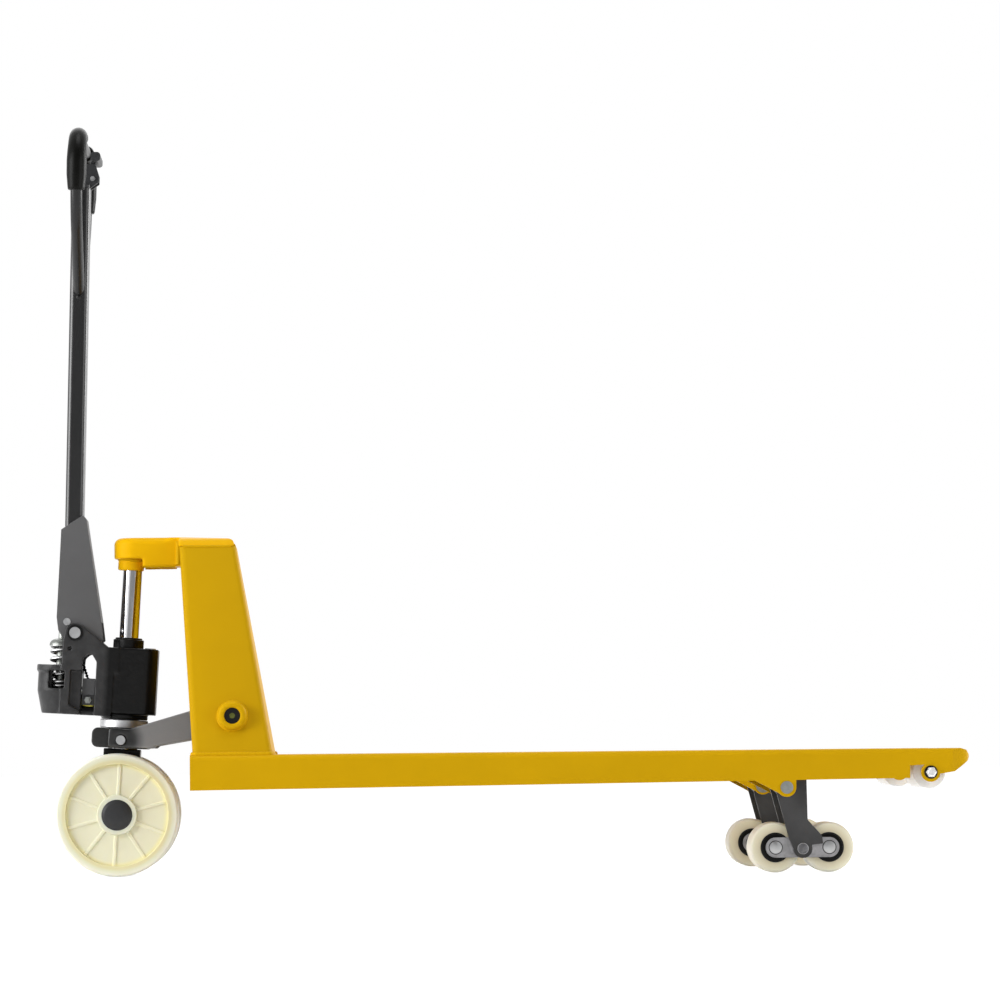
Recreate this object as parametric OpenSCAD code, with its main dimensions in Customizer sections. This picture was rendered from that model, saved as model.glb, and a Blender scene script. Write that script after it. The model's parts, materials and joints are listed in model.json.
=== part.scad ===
// Hand pallet truck, forks raised, handle upright, steering straight.
// Millimetres. X runs from the handle to the fork tips, Z is up and the floor is Z = 0.
// The right-hand side is -Y, seen by someone who stands at the handle.

/* [Forks] */
// Width over both forks
fork_span = 540; // [530:5:550]
// Width of one fork
fork_w = 160; // [155:1:165]
// Height of the fork tops when raised
fork_top = 196; // [195:0.5:197]
// Thickness of the fork plate
fork_t = 5; // [4.5:0.5:5.5]
// Distance of the fork tips from the middle of the truck
tip_x = 751; // [749:1:753]
// Depth of the fork channel at the heel
heel_depth = 56; // [54:1:58]
// Depth of the fork channel near the tip
tip_depth = 47; // [46:1:48]

/* [Lift] */
// How far the forks go down from the raised position
lift_travel = 105; // [100:1:106]
// Backward lean of the steering column, in degrees
lean = 3.5; // [3.4:0.1:3.6]
// Radius of the chrome ram
ram_r = 16; // [15:0.5:16]

/* [Wheels] */
// Radius of the steer wheels
wheel_r = 100; // [99:0.5:100.5]
// Width of one steer wheel
wheel_w = 50; // [48:1:51]
// Radius of the load rollers
roller_r = 40; // [39:0.5:40.5]
// Width of one load roller
roller_w = 70; // [66:1:71]
// Distance between the two load-roller axles of one fork
bogie_base = 86; // [84:1:88]

/* [Handle] */
// Height of the loop top above the handle pivot
loop_top = 819; // [812:1:822]
// Distance between the middles of the two loop sides
loop_w = 320; // [310:5:330]
// Outer radius of the rubber grips
grip_r = 14.5; // [14:0.5:15]
// Radius of the loop tube
loop_r = 9.5; // [9:0.5:10]

/* [Spring] */
// Wire diameter of the pump spring
wire_d = 4.5; // [4:0.5:4.5]
// Working turns of the pump spring
spring_turns = 5; // [4:1:5]

/* [Hidden] */
$fn = 64;
yellow = "#e0a90c";
black = "#2b2b2d";
grey = "#5a5b5e";
steel = "#b9bcc0";
nylon = "#e6e0c0";
rubber = "#1c1c1e";
run = 0.05;
gap = 0.4;
cut = 400;
spring_rings = 8;
wire_sides = 6;

// Places in the side view, [x, z]
column_x = -616;
heel_x = -492;
load_x0 = -350;
fork_y0 = -fork_span / 2;
fork_y1 = fork_y0 + fork_w;
fork_y = (fork_y0 + fork_y1) / 2;
step_x = tip_x - 100;
entry = [tip_x - 67, fork_top - 38];
entry_r = 26;
entry_lug_r = 15.5;
entry_bolt_r = 6;
nose = [[-18, 0], [-7, -3], [0, -12], [-4, -20], [-28, -37]];
load_pin = [454, fork_top - 60];
load_pin_r = 10;
lug_r = 15;
lug_t = 8;
bogie_pin = load_pin + [28, -98];
bogie_pin_r = 9;
axle_z = roller_r;
load_axle_r = 10;
shaft = [-425, 258];
shaft_r = 12.5;
boss_r = 23;
boss_y = [-246, -206];
bush_t = 2.5;

// Frame
frame_t = 6;
frame_y0 = 262;
frame_y1 = 86;
frame_top = 547.5;
frame_front = [-488, -513.5];
frame_back = [-361.5, -423.5];
frame_h = frame_top - fork_top;
side_tilt = atan2(frame_y0 - frame_y1, frame_h);
side_len = norm([frame_y0 - frame_y1, frame_h]);
back_tilt = atan2(frame_back[0] - frame_back[1], frame_h);
back_len = norm([frame_back[0] - frame_back[1], frame_h]);
head_z0 = 505;
head_z1 = 552.5;
head_r = 34;
head_x0 = -621.5;
nose_x = -574;
nose_z0 = 518;
roof_z0 = 538.5;

// Steering column, [u, w] square to and along it from the axle
link_w = 121.5;
link_pin_r = 7.5;
ring_w0 = 108.5;
ring_w1 = 140.5;
ring_r = 44;
trunnion_u = 48;
trunnion_y = 76;
slot_u = 7.5;
neck_r = 38;
bearing_w0 = ring_w1 + gap;
bearing_w1 = 155.6;
body_w0 = 164.5;
body_w1 = 272;
body_u = [-36, 50.5];
body_y = 46;
body_corner = 20;
cylinder_r = 24;
cylinder_w0 = 56;
cylinder_floor = 8;
gland_w1 = 289.5;
gland_r = 25;
cup_w0 = 399.7;
cup_r = 18;
ram_w0 = 186;
spigot_r = 10;
spigot_h = 14;
pivot_u = -86;
pivot_w = 292.5;
pivot_r = 9.2;
spring_u = -108.7;
housing_r = 35.8;
housing_w1 = 239;
housing_taper_w = 196;
housing_foot_r = 27;
bore_r = 20.5;
seat_w = 196;
guide_w0 = 163;
web_w0 = 159.5;
web_w1 = 174.5;
ear_y = [39.5, 47];
ear_r = 16;
block_u = [-105, -71.5];
lug_u = [-48.5, -20];
lug_w1 = 232;
plunger_r = 8;
plunger_head_r = 6.5;
plunger_w0 = 193.5;
cap_w = 276;
cap_t = 5;
cap_r = 18.5;
spring_r = 15.5;
press_at = [-14, 18];
press_r = 12;
press_pin_r = 6;
plunger_top = pivot_w + press_at[1] - press_r - 0.5;
release_w = 200;
release_y = -22;
valve_w = 184;
release_u = -60;
release_pin_r = 4;
valve_r = 8;
valve_boss_r = 13;
valve_flange_r = 9;
valve_boss_y = 12;
valve_y = [-11.5, 6];
stem_y = -12.8;
screw_r = 3;
release_pin_u = [block_u[1] - 12, body_u[0] + 4];
window_at = spring_u - 3.5;
window_u = 13;
window_w = [201, 230];
plug_at = [body_u[1] - 14.5, 0];
plug_r = 8;
plug_h = 8;
clip_y = ear_y[1] + 1.4;
clip_t = 1.6;
clip_groove = 1;

// Axle and wheels
axle_r = 10;
wheel_gap = 27;
wheel_y = wheel_gap + wheel_w / 2;
rim_r = 0.83 * wheel_r;
hub_r = 0.323 * wheel_r;
bearing_r = 23.5;
bearing_t = 14;
spokes = 10;
carrier_y = 25.5;
carrier_r = 30;

// Linkage
arm_y = [79, 91];
arm_hub_r = 27;
link_at = column_point(0, link_w);
link_reach = norm(link_at - shaft);
rocker_start = asin((link_at[1] - shaft[1]) / link_reach);
rocker_end = asin((link_at[1] + lift_travel * cos(lean) - shaft[1]) / link_reach);
rocker_turn = rocker_end - rocker_start;
lever_len = 90;
lever_t = 14;
lever_pin_r = 8;
rod_end = shaft + lever_len * [sin(rocker_turn / 2), -cos(rocker_turn / 2)];
leg = bogie_pin - load_pin;
fold_turn = 90 + asin((leg[1] + lift_travel) / norm(leg)) - atan2(leg[0], -leg[1]);
crank_len = lever_len * sin(rocker_turn / 2) / sin(fold_turn / 2);
crank = crank_len * [sin(fold_turn / 2), cos(fold_turn / 2)];
crank_pin_r = 7;
rod_r = 9;
frame_plate_y = [41.5, 47.5];
link_plate_y = [36.5, 40.5];
link_plate_r = 16;

// Handle, [x, z] from its pivot
handle_forward = 2.1;
tube_x = -6.5;
tube_size = [30, 50];
tube_wall = 3;
tube_corner = 8;
tube_z0 = 104;
tube_z1 = 733;
plate_t = 5;
plate_y0 = 33;
plate_y1 = tube_size[1] / 2;
joggle_z = [30, 140];
bracket_web = [[14, 186], [42, 18]];
loop_z0 = 566;
loop_side_z0 = 690;
loop_bend = 45;
loop_bar_z = loop_top - grip_r;
grip_z0 = 712;
grip_bar_y = 92;
rod_x = 2;
control_at = [12, 749];
control_pin_r = 4;
cheek_y = [12, 16];
control_top = 790;

// Shared geometry

// World [x, z] of a point given in the column's own [u, w]
function column_point(u, w) = [
    column_x + u * cos(lean) + w * sin(lean),
    wheel_r - u * sin(lean) + w * cos(lean)
];

function dir(a) = [cos(a), sin(a)];

function arc(c, r, a0, a1, n = 8) = [for (i = [0:n]) c + r * dir(a0 + (a1 - a0) * i / n)];

function rounded(x, y, r) = concat(
    arc([x[1] - r, y[1] - r], r, 0, 90),
    arc([x[0] + r, y[1] - r], r, 90, 180),
    arc([x[0] + r, y[0] + r], r, 180, 270),
    arc([x[1] - r, y[0] + r], r, 270, 360)
);

// Extrudes a side-view outline between two values of Y
module across(y0, y1) rotate([90, 0, 0]) translate([0, 0, -y1]) linear_extrude(y1 - y0) children();

// Extrudes a [y, z] outline between two values of X
module along(x0, x1) translate([x0, 0, 0]) rotate([90, 0, 90]) linear_extrude(x1 - x0) children();

module rod_y(at, r, y0, y1) translate([at[0], y0, at[1]]) rotate([-90, 0, 0]) cylinder(r = r, h = y1 - y0);

module rod_z(at, r, z0, z1) translate([at[0], at[1], z0]) cylinder(r = r, h = z1 - z0);

// A rod along X, its centre given as [y, z]
module rod_u(at, r, x0, x1) translate([x0, at[0], at[1]]) rotate([0, 90, 0]) cylinder(r = r, h = x1 - x0);

// A flat bar with round ends between two centres in the side view
module bar(a, b, ra, rb, y0, y1) {
    t = atan2(b[1] - a[1], b[0] - a[0]);
    g = acos((ra - rb) / norm(b - a));
    rod_y(a, ra, y0, y1);
    rod_y(b, rb, y0, y1);
    across(y0, y1) polygon([
        a + ra * dir(t + g), b + rb * dir(t + g), b + rb * dir(t - g), a + ra * dir(t - g)
    ]);
}

module on_column() translate([column_x, 0, wheel_r]) rotate([0, lean, 0]) children();

module on_handle() on_column() translate([pivot_u, 0, pivot_w]) rotate([0, -handle_forward, 0]) children();

// Shapes are drawn on the right-hand side and mirrored for the left-hand one
module sided(left) mirror([0, left ? 1 : 0, 0]) children();

module both() {
    children();
    mirror([0, 1, 0]) children();
}

module ring(r0, r1, h) difference() {
    cylinder(r = r1, h = h);
    translate([0, 0, -1]) cylinder(r = r0, h = h + 2);
}

// Forks and frame

function fork_bottom(x) =
    fork_top - heel_depth + (heel_depth - tip_depth) * (x - heel_x) / (step_x - heel_x);

module channel(x0, x1, outline) {
    corner = 9;
    side = concat(
        [[fork_y0, 0]],
        arc([fork_y0 + corner, fork_top - corner], corner, 180, 90, 5),
        arc([fork_y1 - corner, fork_top - corner], corner, 90, 0, 5),
        [[fork_y1, 0]]
    );
    intersection() {
        across(fork_y0, fork_y1) polygon(outline);
        along(x0, x1) polygon(side);
    }
}

module fork(left) {
    tip_round = 42;
    front_z = fork_top - 16;
    inner_top = fork_top - fork_t;
    outline = concat(
        [[load_x0, fork_top]],
        [for (p = nose) [tip_x, fork_top] + p],
        arc(entry, entry_lug_r, -10, -230, 12),
        [[step_x, fork_top - 27], [step_x, fork_bottom(step_x)], [load_x0, fork_bottom(load_x0)]]
    );
    hollow = [
        [load_x0 - 1, inner_top], [tip_x - 11, inner_top], [tip_x - 6, fork_top - 10],
        [tip_x - 8, front_z], [tip_x + 9, front_z - 9], [tip_x + 9, 0], [load_x0 - 1, 0]
    ];
    plan = concat(
        [[load_x0, fork_y0]],
        arc([tip_x - tip_round, fork_y0 + tip_round], tip_round, 270, 360, 6),
        arc([tip_x - tip_round, fork_y1 - tip_round], tip_round, 0, 90, 6),
        [[load_x0, fork_y1]]
    );
    inner_plan = concat(
        [[load_x0 - 1, fork_y0 + fork_t]],
        arc([tip_x - tip_round, fork_y0 + tip_round], tip_round - fork_t, 270, 360, 6),
        arc([tip_x - tip_round, fork_y1 - tip_round], tip_round - fork_t, 0, 90, 6),
        [[load_x0 - 1, fork_y1 - fork_t]]
    );
    sided(left) color(yellow) difference() {
        union() {
            difference() {
                intersection() {
                    channel(load_x0, tip_x, outline);
                    linear_extrude(cut) polygon(plan);
                }
                intersection() {
                    across(fork_y0, fork_y1) polygon(hollow);
                    translate([0, 0, -1]) linear_extrude(cut) polygon(inner_plan);
                }
            }
            for (y = [fork_y0, fork_y1 - lug_t]) load_lug(y);
        }
        rod_y(load_pin, load_pin_r + run, fork_y0 - 1, fork_y1 + 1);
        rod_y(entry, entry_bolt_r + run, fork_y0 - 1, fork_y1 + 1);
    }
}

module load_lug(y) {
    wall_z = fork_bottom(load_pin[0]) + 6;
    rod_y(load_pin, lug_r, y, y + lug_t);
    across(y, y + lug_t) polygon([
        [load_pin[0] - 62, wall_z], load_pin + lug_r * dir(220), load_pin + lug_r * dir(320),
        load_pin + [lug_r, 0], [load_pin[0] + lug_r, wall_z]
    ]);
}

module heel(left) {
    end_t = 6;
    slot_x = [shaft[0] - 52, shaft[0] + 52];
    slot_y = 12;
    outline = [
        [heel_x, fork_top], [load_x0, fork_top],
        [load_x0, fork_bottom(load_x0)], [heel_x, fork_bottom(heel_x)]
    ];
    sided(left) color(yellow) difference() {
        channel(heel_x, load_x0, outline);
        translate([heel_x + end_t, fork_y0 + fork_t, 0])
            cube([load_x0 - heel_x, fork_w - 2 * fork_t, fork_top - fork_t]);
        translate([slot_x[0], fork_y - slot_y, fork_top - fork_t - 1])
            cube([slot_x[1] - slot_x[0], 2 * slot_y, fork_t + 2]);
    }
}

module frame_side(left) {
    sided(left) color(yellow) difference() {
        translate([0, -frame_y0, fork_top]) rotate([-side_tilt, 0, 0]) across(0, frame_t) polygon([
            [frame_front[0], 0], [frame_back[0], 0], [frame_back[1], side_len], [frame_front[1], side_len]
        ]);
        translate([-cut * 2, -cut, fork_top - cut]) cube([cut * 2, cut, cut]);
        translate([-cut * 2, -cut, roof_z0]) cube([cut * 2, cut, cut]);
        rod_y(shaft, boss_r + gap, -cut, 0);
    }
}

module back_plate() {
    edge = frame_t + 1.2;
    tie_z = [150, fork_top];
    tie_y = -fork_y1 - 0.2;
    tie_front = heel_x + 16;
    color(yellow) difference() {
        union() {
            translate([frame_back[0], 0, fork_top]) rotate([0, -back_tilt, 0]) along(-frame_t, 0) polygon([
                [-frame_y0 + edge, 0], [frame_y0 - edge, 0],
                [frame_y1 - edge, back_len], [-frame_y1 + edge, back_len]
            ]);
            translate([frame_back[0] - frame_t, -tie_y, tie_z[0]])
                cube([frame_t, 2 * tie_y, tie_z[1] - tie_z[0] + 1]);
            translate([tie_front, -tie_y, tie_z[1] - frame_t])
                cube([frame_back[0] - tie_front, 2 * tie_y, frame_t]);
            translate([tie_front, -tie_y, tie_z[0]]) cube([frame_t, 2 * tie_y, tie_z[1] - tie_z[0]]);
        }
        for (s = [-1, 1]) translate([heel_x, s * cut / 2 + s * tie_y - cut / 2, 0])
            cube([cut, cut, fork_top]);
        translate([-cut * 2, -cut / 2, roof_z0]) cube([cut * 2, cut, cut]);
    }
}

module ram_head() {
    inner_x = frame_front[1] + 31.5;
    cup_h = 24;
    color(yellow) difference() {
        union() {
            rod_z([head_x0 + head_r, 0], head_r, nose_z0, head_z1);
            translate([head_x0 + head_r, -head_r, nose_z0])
                cube([inner_x - head_x0 - head_r, 2 * head_r, head_z1 - nose_z0]);
            translate([nose_x, -head_r, head_z0])
                cube([inner_x - nose_x, 2 * head_r, nose_z0 - head_z0 + 1]);
            frame_roof();
            on_column() rod_z([0, 0], cup_r, cup_w0, cup_w0 + cup_h);
        }
        on_column() rod_z([0, 0], spigot_r + run, cup_w0 - 1, cup_w0 + spigot_h);
    }
}

// The frame's top: its side edges bend over and its back corner is rounded
module frame_roof() {
    bend_r = 25;
    corner_r = 10;
    foot_y = frame_y0 - (roof_z0 - fork_top) * (frame_y0 - frame_y1) / frame_h;
    front_x = frame_front[1];
    back_x = frame_back[1];
    bend = arc([foot_y - bend_r * cos(side_tilt), head_z1 - bend_r], bend_r, side_tilt, 90);
    far_bend = [for (i = [len(bend) - 1:-1:0]) [-bend[i][0], bend[i][1]]];
    intersection() {
        along(front_x, back_x)
            polygon(concat([[foot_y, roof_z0]], bend, far_bend, [[-foot_y, roof_z0]]));
        across(-foot_y, foot_y) polygon(concat(
            [[front_x, roof_z0], [back_x, roof_z0]],
            arc([back_x - corner_r, head_z1 - corner_r], corner_r, 0, 90),
            [[front_x, head_z1]]
        ));
    }
}

module shaft_bosses() {
    color(yellow) both() difference() {
        rod_y(shaft, boss_r, boss_y[0], boss_y[1]);
        rod_y(shaft, shaft_r + bush_t, boss_y[0] - 1, boss_y[1] + 1);
    }
}

module shaft_bushes() {
    color(black) both() difference() {
        rod_y(shaft, shaft_r + bush_t, boss_y[0], boss_y[1]);
        rod_y(shaft, shaft_r + run, boss_y[0] - 1, boss_y[1] + 1);
    }
}

module frame_pins() {
    head_r = 12;
    head_t = 3;
    color(steel) both() {
        rod_y(load_pin, load_pin_r, fork_y0 - 2, fork_y1 + 0.5);
        rod_y(load_pin, head_r, fork_y1, fork_y1 + head_t);
    }
}

module entry_bolts() {
    washer_r = 9.5;
    washer_t = 2;
    nut_r = 9;
    nut_t = 7;
    color(steel) both() {
        rod_y(entry, entry_bolt_r, fork_y0 - washer_t - nut_t - 2, fork_y1 + washer_t);
        rod_y(entry, washer_r, fork_y0 - washer_t, fork_y0);
        rod_y(entry, washer_r, fork_y1, fork_y1 + washer_t);
        for (y = [fork_y0 - washer_t - nut_t, fork_y1 + washer_t]) translate([entry[0], y, entry[1]])
            rotate([-90, 0, 0]) cylinder(r = nut_r, h = nut_t, $fn = 6);
    }
}

module entry_roller(left) {
    half = 58;
    sided(left) color(nylon) difference() {
        rod_y(entry, entry_r, fork_y - half, fork_y + half);
        rod_y(entry, entry_bolt_r + run, fork_y - half - 1, fork_y + half + 1);
    }
}

// Column, pump and steering

module ram() {
    color(steel) on_column() {
        rod_z([0, 0], ram_r, ram_w0, cup_w0);
        rod_z([0, 0], spigot_r, cup_w0 - 1, cup_w0 + spigot_h - 1);
    }
}

module link_ring() {
    slot_y = 54;
    slot_r = link_pin_r + 1.6;
    color(black) on_column() difference() {
        union() {
            rod_z([0, 0], ring_r, ring_w0, ring_w1);
            across(-trunnion_y, trunnion_y)
                polygon(rounded([-trunnion_u, trunnion_u], [ring_w0, ring_w1], 10));
        }
        rod_z([0, 0], cylinder_r + run, ring_w0 - 1, ring_w1 + 1);
        for (s = [-1, 1]) {
            y0 = s < 0 ? -trunnion_y - 1 : slot_y;
            y1 = s < 0 ? -slot_y : trunnion_y + 1;
            for (u = [-slot_u, slot_u]) rod_y([u, link_w], slot_r, y0, y1);
            translate([-slot_u, y0, link_w - slot_r]) cube([2 * slot_u, y1 - y0, 2 * slot_r]);
        }
    }
}

module thrust_bearing() {
    groove = 1.6;
    outer = 41;
    h = bearing_w1 - bearing_w0;
    race = (h - 3) / 2;
    color(steel) on_column() translate([0, 0, bearing_w0]) {
        ring(cylinder_r, outer, race);
        ring(cylinder_r, outer - groove, h);
        translate([0, 0, h - race]) ring(cylinder_r, outer, race);
    }
}

module pump_housing() {
    rib_y = 10;
    rib_w = 8;
    web_y = housing_r - 6.5;
    overlap = 4;
    side_y = housing_r / 2;
    pocket_u = -90;
    pocket_y = 37;
    groove_y = 4;
    groove_w = 226;
    hole = [pivot_u - 7, pivot_w - 26];
    hole_r = 3.5;
    hole_t = 5;
    color(black) on_column() difference() {
        union() {
            translate([0, 0, body_w0]) linear_extrude(body_w1 - body_w0)
                polygon(rounded(body_u, [-body_y, body_y], body_corner));
            rod_z([0, 0], neck_r, bearing_w1, body_w0 + 1);
            spring_housing();
            for (s = [-1, 1]) pump_ear(s);
            translate([block_u[0], -ear_y[1], web_w0])
                cube([block_u[1] - block_u[0], 2 * ear_y[1], housing_w1 - web_w0]);
            translate([lug_u[0], -ear_y[1], web_w0])
                cube([lug_u[1] - lug_u[0], 2 * ear_y[1], lug_w1 - web_w0]);
            translate([spring_u, -web_y, web_w0])
                cube([body_u[0] - spring_u + overlap, 2 * web_y, web_w1 - web_w0]);
            rod_y([release_u, valve_w], valve_boss_r, -valve_boss_y, valve_boss_y);
            translate([release_u, -rib_y, valve_w - rib_w])
                cube([body_u[0] - release_u + overlap, 2 * rib_y, 2 * rib_w]);
        }
        rod_z([0, 0], cylinder_r, bearing_w1, body_w1 + 1);
        rod_z([spring_u, 0], bore_r, seat_w, pivot_w);
        rod_z([spring_u, 0], plunger_r + run, guide_w0, seat_w + 1);
        for (y = [-cut, side_y]) translate([window_at - window_u, y, window_w[0]])
            cube([2 * window_u, cut - side_y, window_w[1] - window_w[0]]);
        rod_y([pivot_u, pivot_w], pivot_r, -ear_y[1] - 1, ear_y[1] + 1);
        rod_y([release_u, valve_w], valve_r, -valve_boss_r, valve_y[1]);
        rod_u([release_y, release_w], release_pin_r, release_pin_u[0], release_pin_u[1]);
        rod_z(plug_at, plug_r, body_w1 - plug_h, body_w1 + 1);
        for (y = [-ear_y[1] - 1, pocket_y]) translate([pocket_u, y, web_w1])
            cube([block_u[1] - pocket_u + 1, ear_y[1] + 1 - pocket_y, lug_w1 - web_w1]);
        translate([block_u[1] - 6, -groove_y, groove_w])
            cube([8, 2 * groove_y, housing_w1 - groove_w + 1]);
        for (y = [-ear_y[1] - 1, ear_y[1] - hole_t]) rod_y(hole, hole_r, y, y + hole_t + 1);
    }
}

module spring_housing() {
    lip = 2.7;
    lip_w = housing_w1 - 10;
    translate([spring_u, 0, 0]) rotate_extrude() polygon([
        [0, web_w0], [housing_foot_r, web_w0], [housing_r, housing_taper_w], [housing_r, lip_w - lip],
        [housing_r + lip, lip_w], [housing_r + lip, housing_w1], [0, housing_w1]
    ]);
}

module pump_ear(s) {
    y0 = s < 0 ? -ear_y[1] : ear_y[0];
    pivot = [pivot_u, pivot_w];
    rod_y(pivot, ear_r, y0, y0 + ear_y[1] - ear_y[0]);
    across(y0, y0 + ear_y[1] - ear_y[0]) polygon([
        [body_u[0] + 24, body_w1], [body_u[0] + 4, body_w1], pivot + ear_r * dir(52), pivot,
        pivot + ear_r * dir(180), [block_u[0], pivot_w - 18], [block_u[0], housing_w1 - 3],
        [block_u[1], housing_w1 - 3], [-70.5, 252], [-63, 259], [-57, 259.5], [lug_u[0], 247],
        [lug_u[0], lug_w1 - 2], [body_u[0] + 24, lug_w1 - 2]
    ]);
}

module pump_cylinder() {
    color(steel) on_column() difference() {
        rod_z([0, 0], cylinder_r, cylinder_w0, body_w1);
        rod_z([0, 0], ram_r + 0.6, cylinder_w0 + cylinder_floor, body_w1 + 1);
    }
}

module gland_nut() {
    lip = 3;
    color(black) on_column() difference() {
        union() {
            rod_z([0, 0], gland_r, body_w1, gland_w1 - lip);
            rod_z([0, 0], gland_r - lip, gland_w1 - lip - 1, gland_w1);
        }
        rod_z([0, 0], ram_r + run, body_w1 - 1, gland_w1 + 1);
    }
}

module filler_plug() {
    color(steel) on_column() {
        rod_z(plug_at, plug_r, body_w1 - plug_h, body_w1);
        translate([plug_at[0], 0, body_w1]) cylinder(r = plug_r + 1, h = 2, $fn = 6);
    }
}

module release_valve() {
    color(steel) on_column() {
        rod_y([release_u, valve_w], valve_r, valve_y[0], valve_y[1]);
        rod_y([release_u, valve_w], valve_r / 2, stem_y, valve_y[0] + 1);
        rod_y([release_u, valve_w], valve_flange_r, stem_y, -valve_boss_y);
    }
}

module lever_pin() {
    color(steel) on_column() rod_u([release_y, release_w], release_pin_r, release_pin_u[0], release_pin_u[1]);
}

module pivot_shaft() {
    half = ear_y[1] + 4;
    color(steel) on_column() difference() {
        rod_y([pivot_u, pivot_w], pivot_r, -half, half);
        rod_z([pivot_u, 0], pivot_r / 2, pivot_w - pivot_r - 1, pivot_w + pivot_r + 1);
        for (s = [-1, 1]) translate([pivot_u, s * clip_y, pivot_w]) rotate([90, 0, 0])
            translate([0, 0, -clip_t / 2]) ring(pivot_r - clip_groove, pivot_r + 1, clip_t);
    }
}

module circlips() {
    axle_y = wheel_gap + wheel_w - 0.7;
    clip_lip = 4;
    axle_clip_t = 1.2;
    color(grey) on_column() both() {
        translate([pivot_u, -clip_y, pivot_w]) rotate([90, 0, 0])
            translate([0, 0, -clip_t / 2]) ring(pivot_r - clip_groove, pivot_r + clip_lip, clip_t);
        translate([0, -axle_y, 0]) rotate([90, 0, 0]) ring(axle_r, axle_r + clip_lip - 1, axle_clip_t);
    }
}

module axle_carrier() {
    color(black) on_column() difference() {
        union() {
            rod_y([0, 0], carrier_r, -carrier_y, carrier_y);
            translate([-carrier_r, -carrier_y, 0]) cube([2 * carrier_r, 2 * carrier_y, ring_w0 - 1]);
        }
        rod_y([0, 0], axle_r, -carrier_y - 1, carrier_y + 1);
        rod_z([0, 0], cylinder_r, cylinder_w0, ring_w0);
    }
}

module steer_axle() {
    half = wheel_gap + wheel_w + 1;
    color(steel) on_column() rod_y([0, 0], axle_r, -half, half);
}

// One wheel in its own frame, its axis along Z
module wheel_blank() {
    half = wheel_w / 2;
    web = 18;
    chamfer = 3;
    rib_t = 5;
    rib_inset = 5;
    rotate_extrude() polygon([
        [bearing_r, -half], [hub_r, -half], [hub_r, -web], [rim_r, -web], [rim_r, -half],
        [wheel_r - chamfer, -half], [wheel_r, -half + chamfer], [wheel_r, half - chamfer],
        [wheel_r - chamfer, half], [rim_r, half], [rim_r, web], [hub_r, web],
        [hub_r, half], [bearing_r, half]
    ]);
    for (i = [0:spokes - 1], z = [-half + rib_inset, web - 1]) rotate([0, 0, 90 + i * 360 / spokes])
        translate([hub_r - 1, -rib_t / 2, z]) cube([rim_r - hub_r + 2, rib_t, half - web - rib_inset + 1]);
}

module steer_wheel(left) {
    sided(left) color(nylon) on_column() translate([0, -wheel_y, 0]) rotate([90, 0, 0]) wheel_blank();
}

module wheel_bearings(left) {
    inset = 1;
    sided(left) color(steel) on_column() translate([0, -wheel_y, 0]) rotate([90, 0, 0])
        for (z = [-wheel_w / 2 + inset, wheel_w / 2 - inset - bearing_t]) translate([0, 0, z])
            ring(axle_r + run, bearing_r, bearing_t);
}

module hub_cap(left) {
    face = wheel_w / 2;
    dome = [
        [0, face + 2], [0, face + 4.5], [12, face + 4], [20, face + 2.6], [bearing_r + 1.5, face + 0.2],
        [bearing_r + 1.5, face], [bearing_r - 0.4, face], [bearing_r - 2, face - 0.5], [17, face + 1.2]
    ];
    sided(left) color(black) on_column() translate([0, -wheel_y, 0]) rotate([90, 0, 0])
        rotate_extrude() polygon(dome);
}

module pump_plunger() {
    color(steel) on_column() {
        rod_z([spring_u, 0], plunger_r, plunger_w0, cap_w + 1);
        rod_z([spring_u, 0], cap_r, cap_w, cap_w + cap_t);
        rod_z([spring_u, 0], plunger_head_r, cap_w + cap_t - 1, plunger_top);
    }
}

// Spring centre line: a closed turn at each end and working turns between
spring_z0 = seat_w + wire_d / 2 + 0.2;
spring_z1 = cap_w - wire_d / 2 - 0.2;
closed_pitch = wire_d + 1;
spring_total = spring_turns + 2;
open_pitch = (spring_z1 - spring_z0 - 2 * closed_pitch) / spring_turns;
spring_steps = spring_total * spring_rings;

function spring_rise(t) =
    t < 1 ? closed_pitch * t
    : t < spring_total - 1 ? closed_pitch + open_pitch * (t - 1)
    : closed_pitch + open_pitch * spring_turns + closed_pitch * (t - spring_total + 1);

function spring_at(i) = let (t = i / spring_rings) [
    spring_u + spring_r * cos(360 * t), spring_r * sin(360 * t), spring_z0 + spring_rise(t)
];

spring_gap = min([
    for (i = [0:spring_steps], j = [0:spring_steps])
        if (j - i > spring_rings / 2) norm(spring_at(j) - spring_at(i)) - wire_d
]);
echo(spring_least_gap = spring_gap);

module pump_spring() {
    points = [
        for (i = [0:spring_steps], k = [0:wire_sides - 1])
            let (a = 360 * i / spring_rings, b = 360 * k / wire_sides)
            spring_at(i) + wire_d / 2 * [cos(a) * cos(b), sin(a) * cos(b), sin(b)]
    ];
    last = spring_steps * wire_sides;
    sides = [
        for (i = [0:spring_steps - 1], k = [0:wire_sides - 1])
            let (a = i * wire_sides, n = (k + 1) % wire_sides)
            each [
                [a + k, a + wire_sides + k, a + wire_sides + n],
                [a + k, a + wire_sides + n, a + n]
            ]
    ];
    ends = [
        for (k = [1:wire_sides - 2]) each [[0, k, k + 1], [last, last + k + 1, last + k]]
    ];
    color(grey) on_column() polyhedron(points = points, faces = concat(sides, ends), convexity = 8);
}

module release_lever() {
    half = 10;
    arm_t = 4;
    hub = 7;
    block_h = 19.5;
    foot = 8;
    reach = 26;
    color(grey) on_column() difference() {
        union() {
            translate([release_u - half, release_y - hub, release_w - hub])
                cube([2 * half, 2 * hub, hub + block_h]);
            translate([release_u - half, release_y - arm_t / 2, valve_w - foot])
                cube([2 * half, arm_t, release_w - valve_w + foot / 2]);
            translate([release_u - half, release_y, release_w + 2]) cube([2 * half, reach, arm_t]);
        }
        rod_u([release_y, release_w], release_pin_r + run, release_u - half - 1, release_u + half + 1);
        rod_y([release_u, valve_w], screw_r, release_y - arm_t, release_y + arm_t);
    }
}

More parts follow.
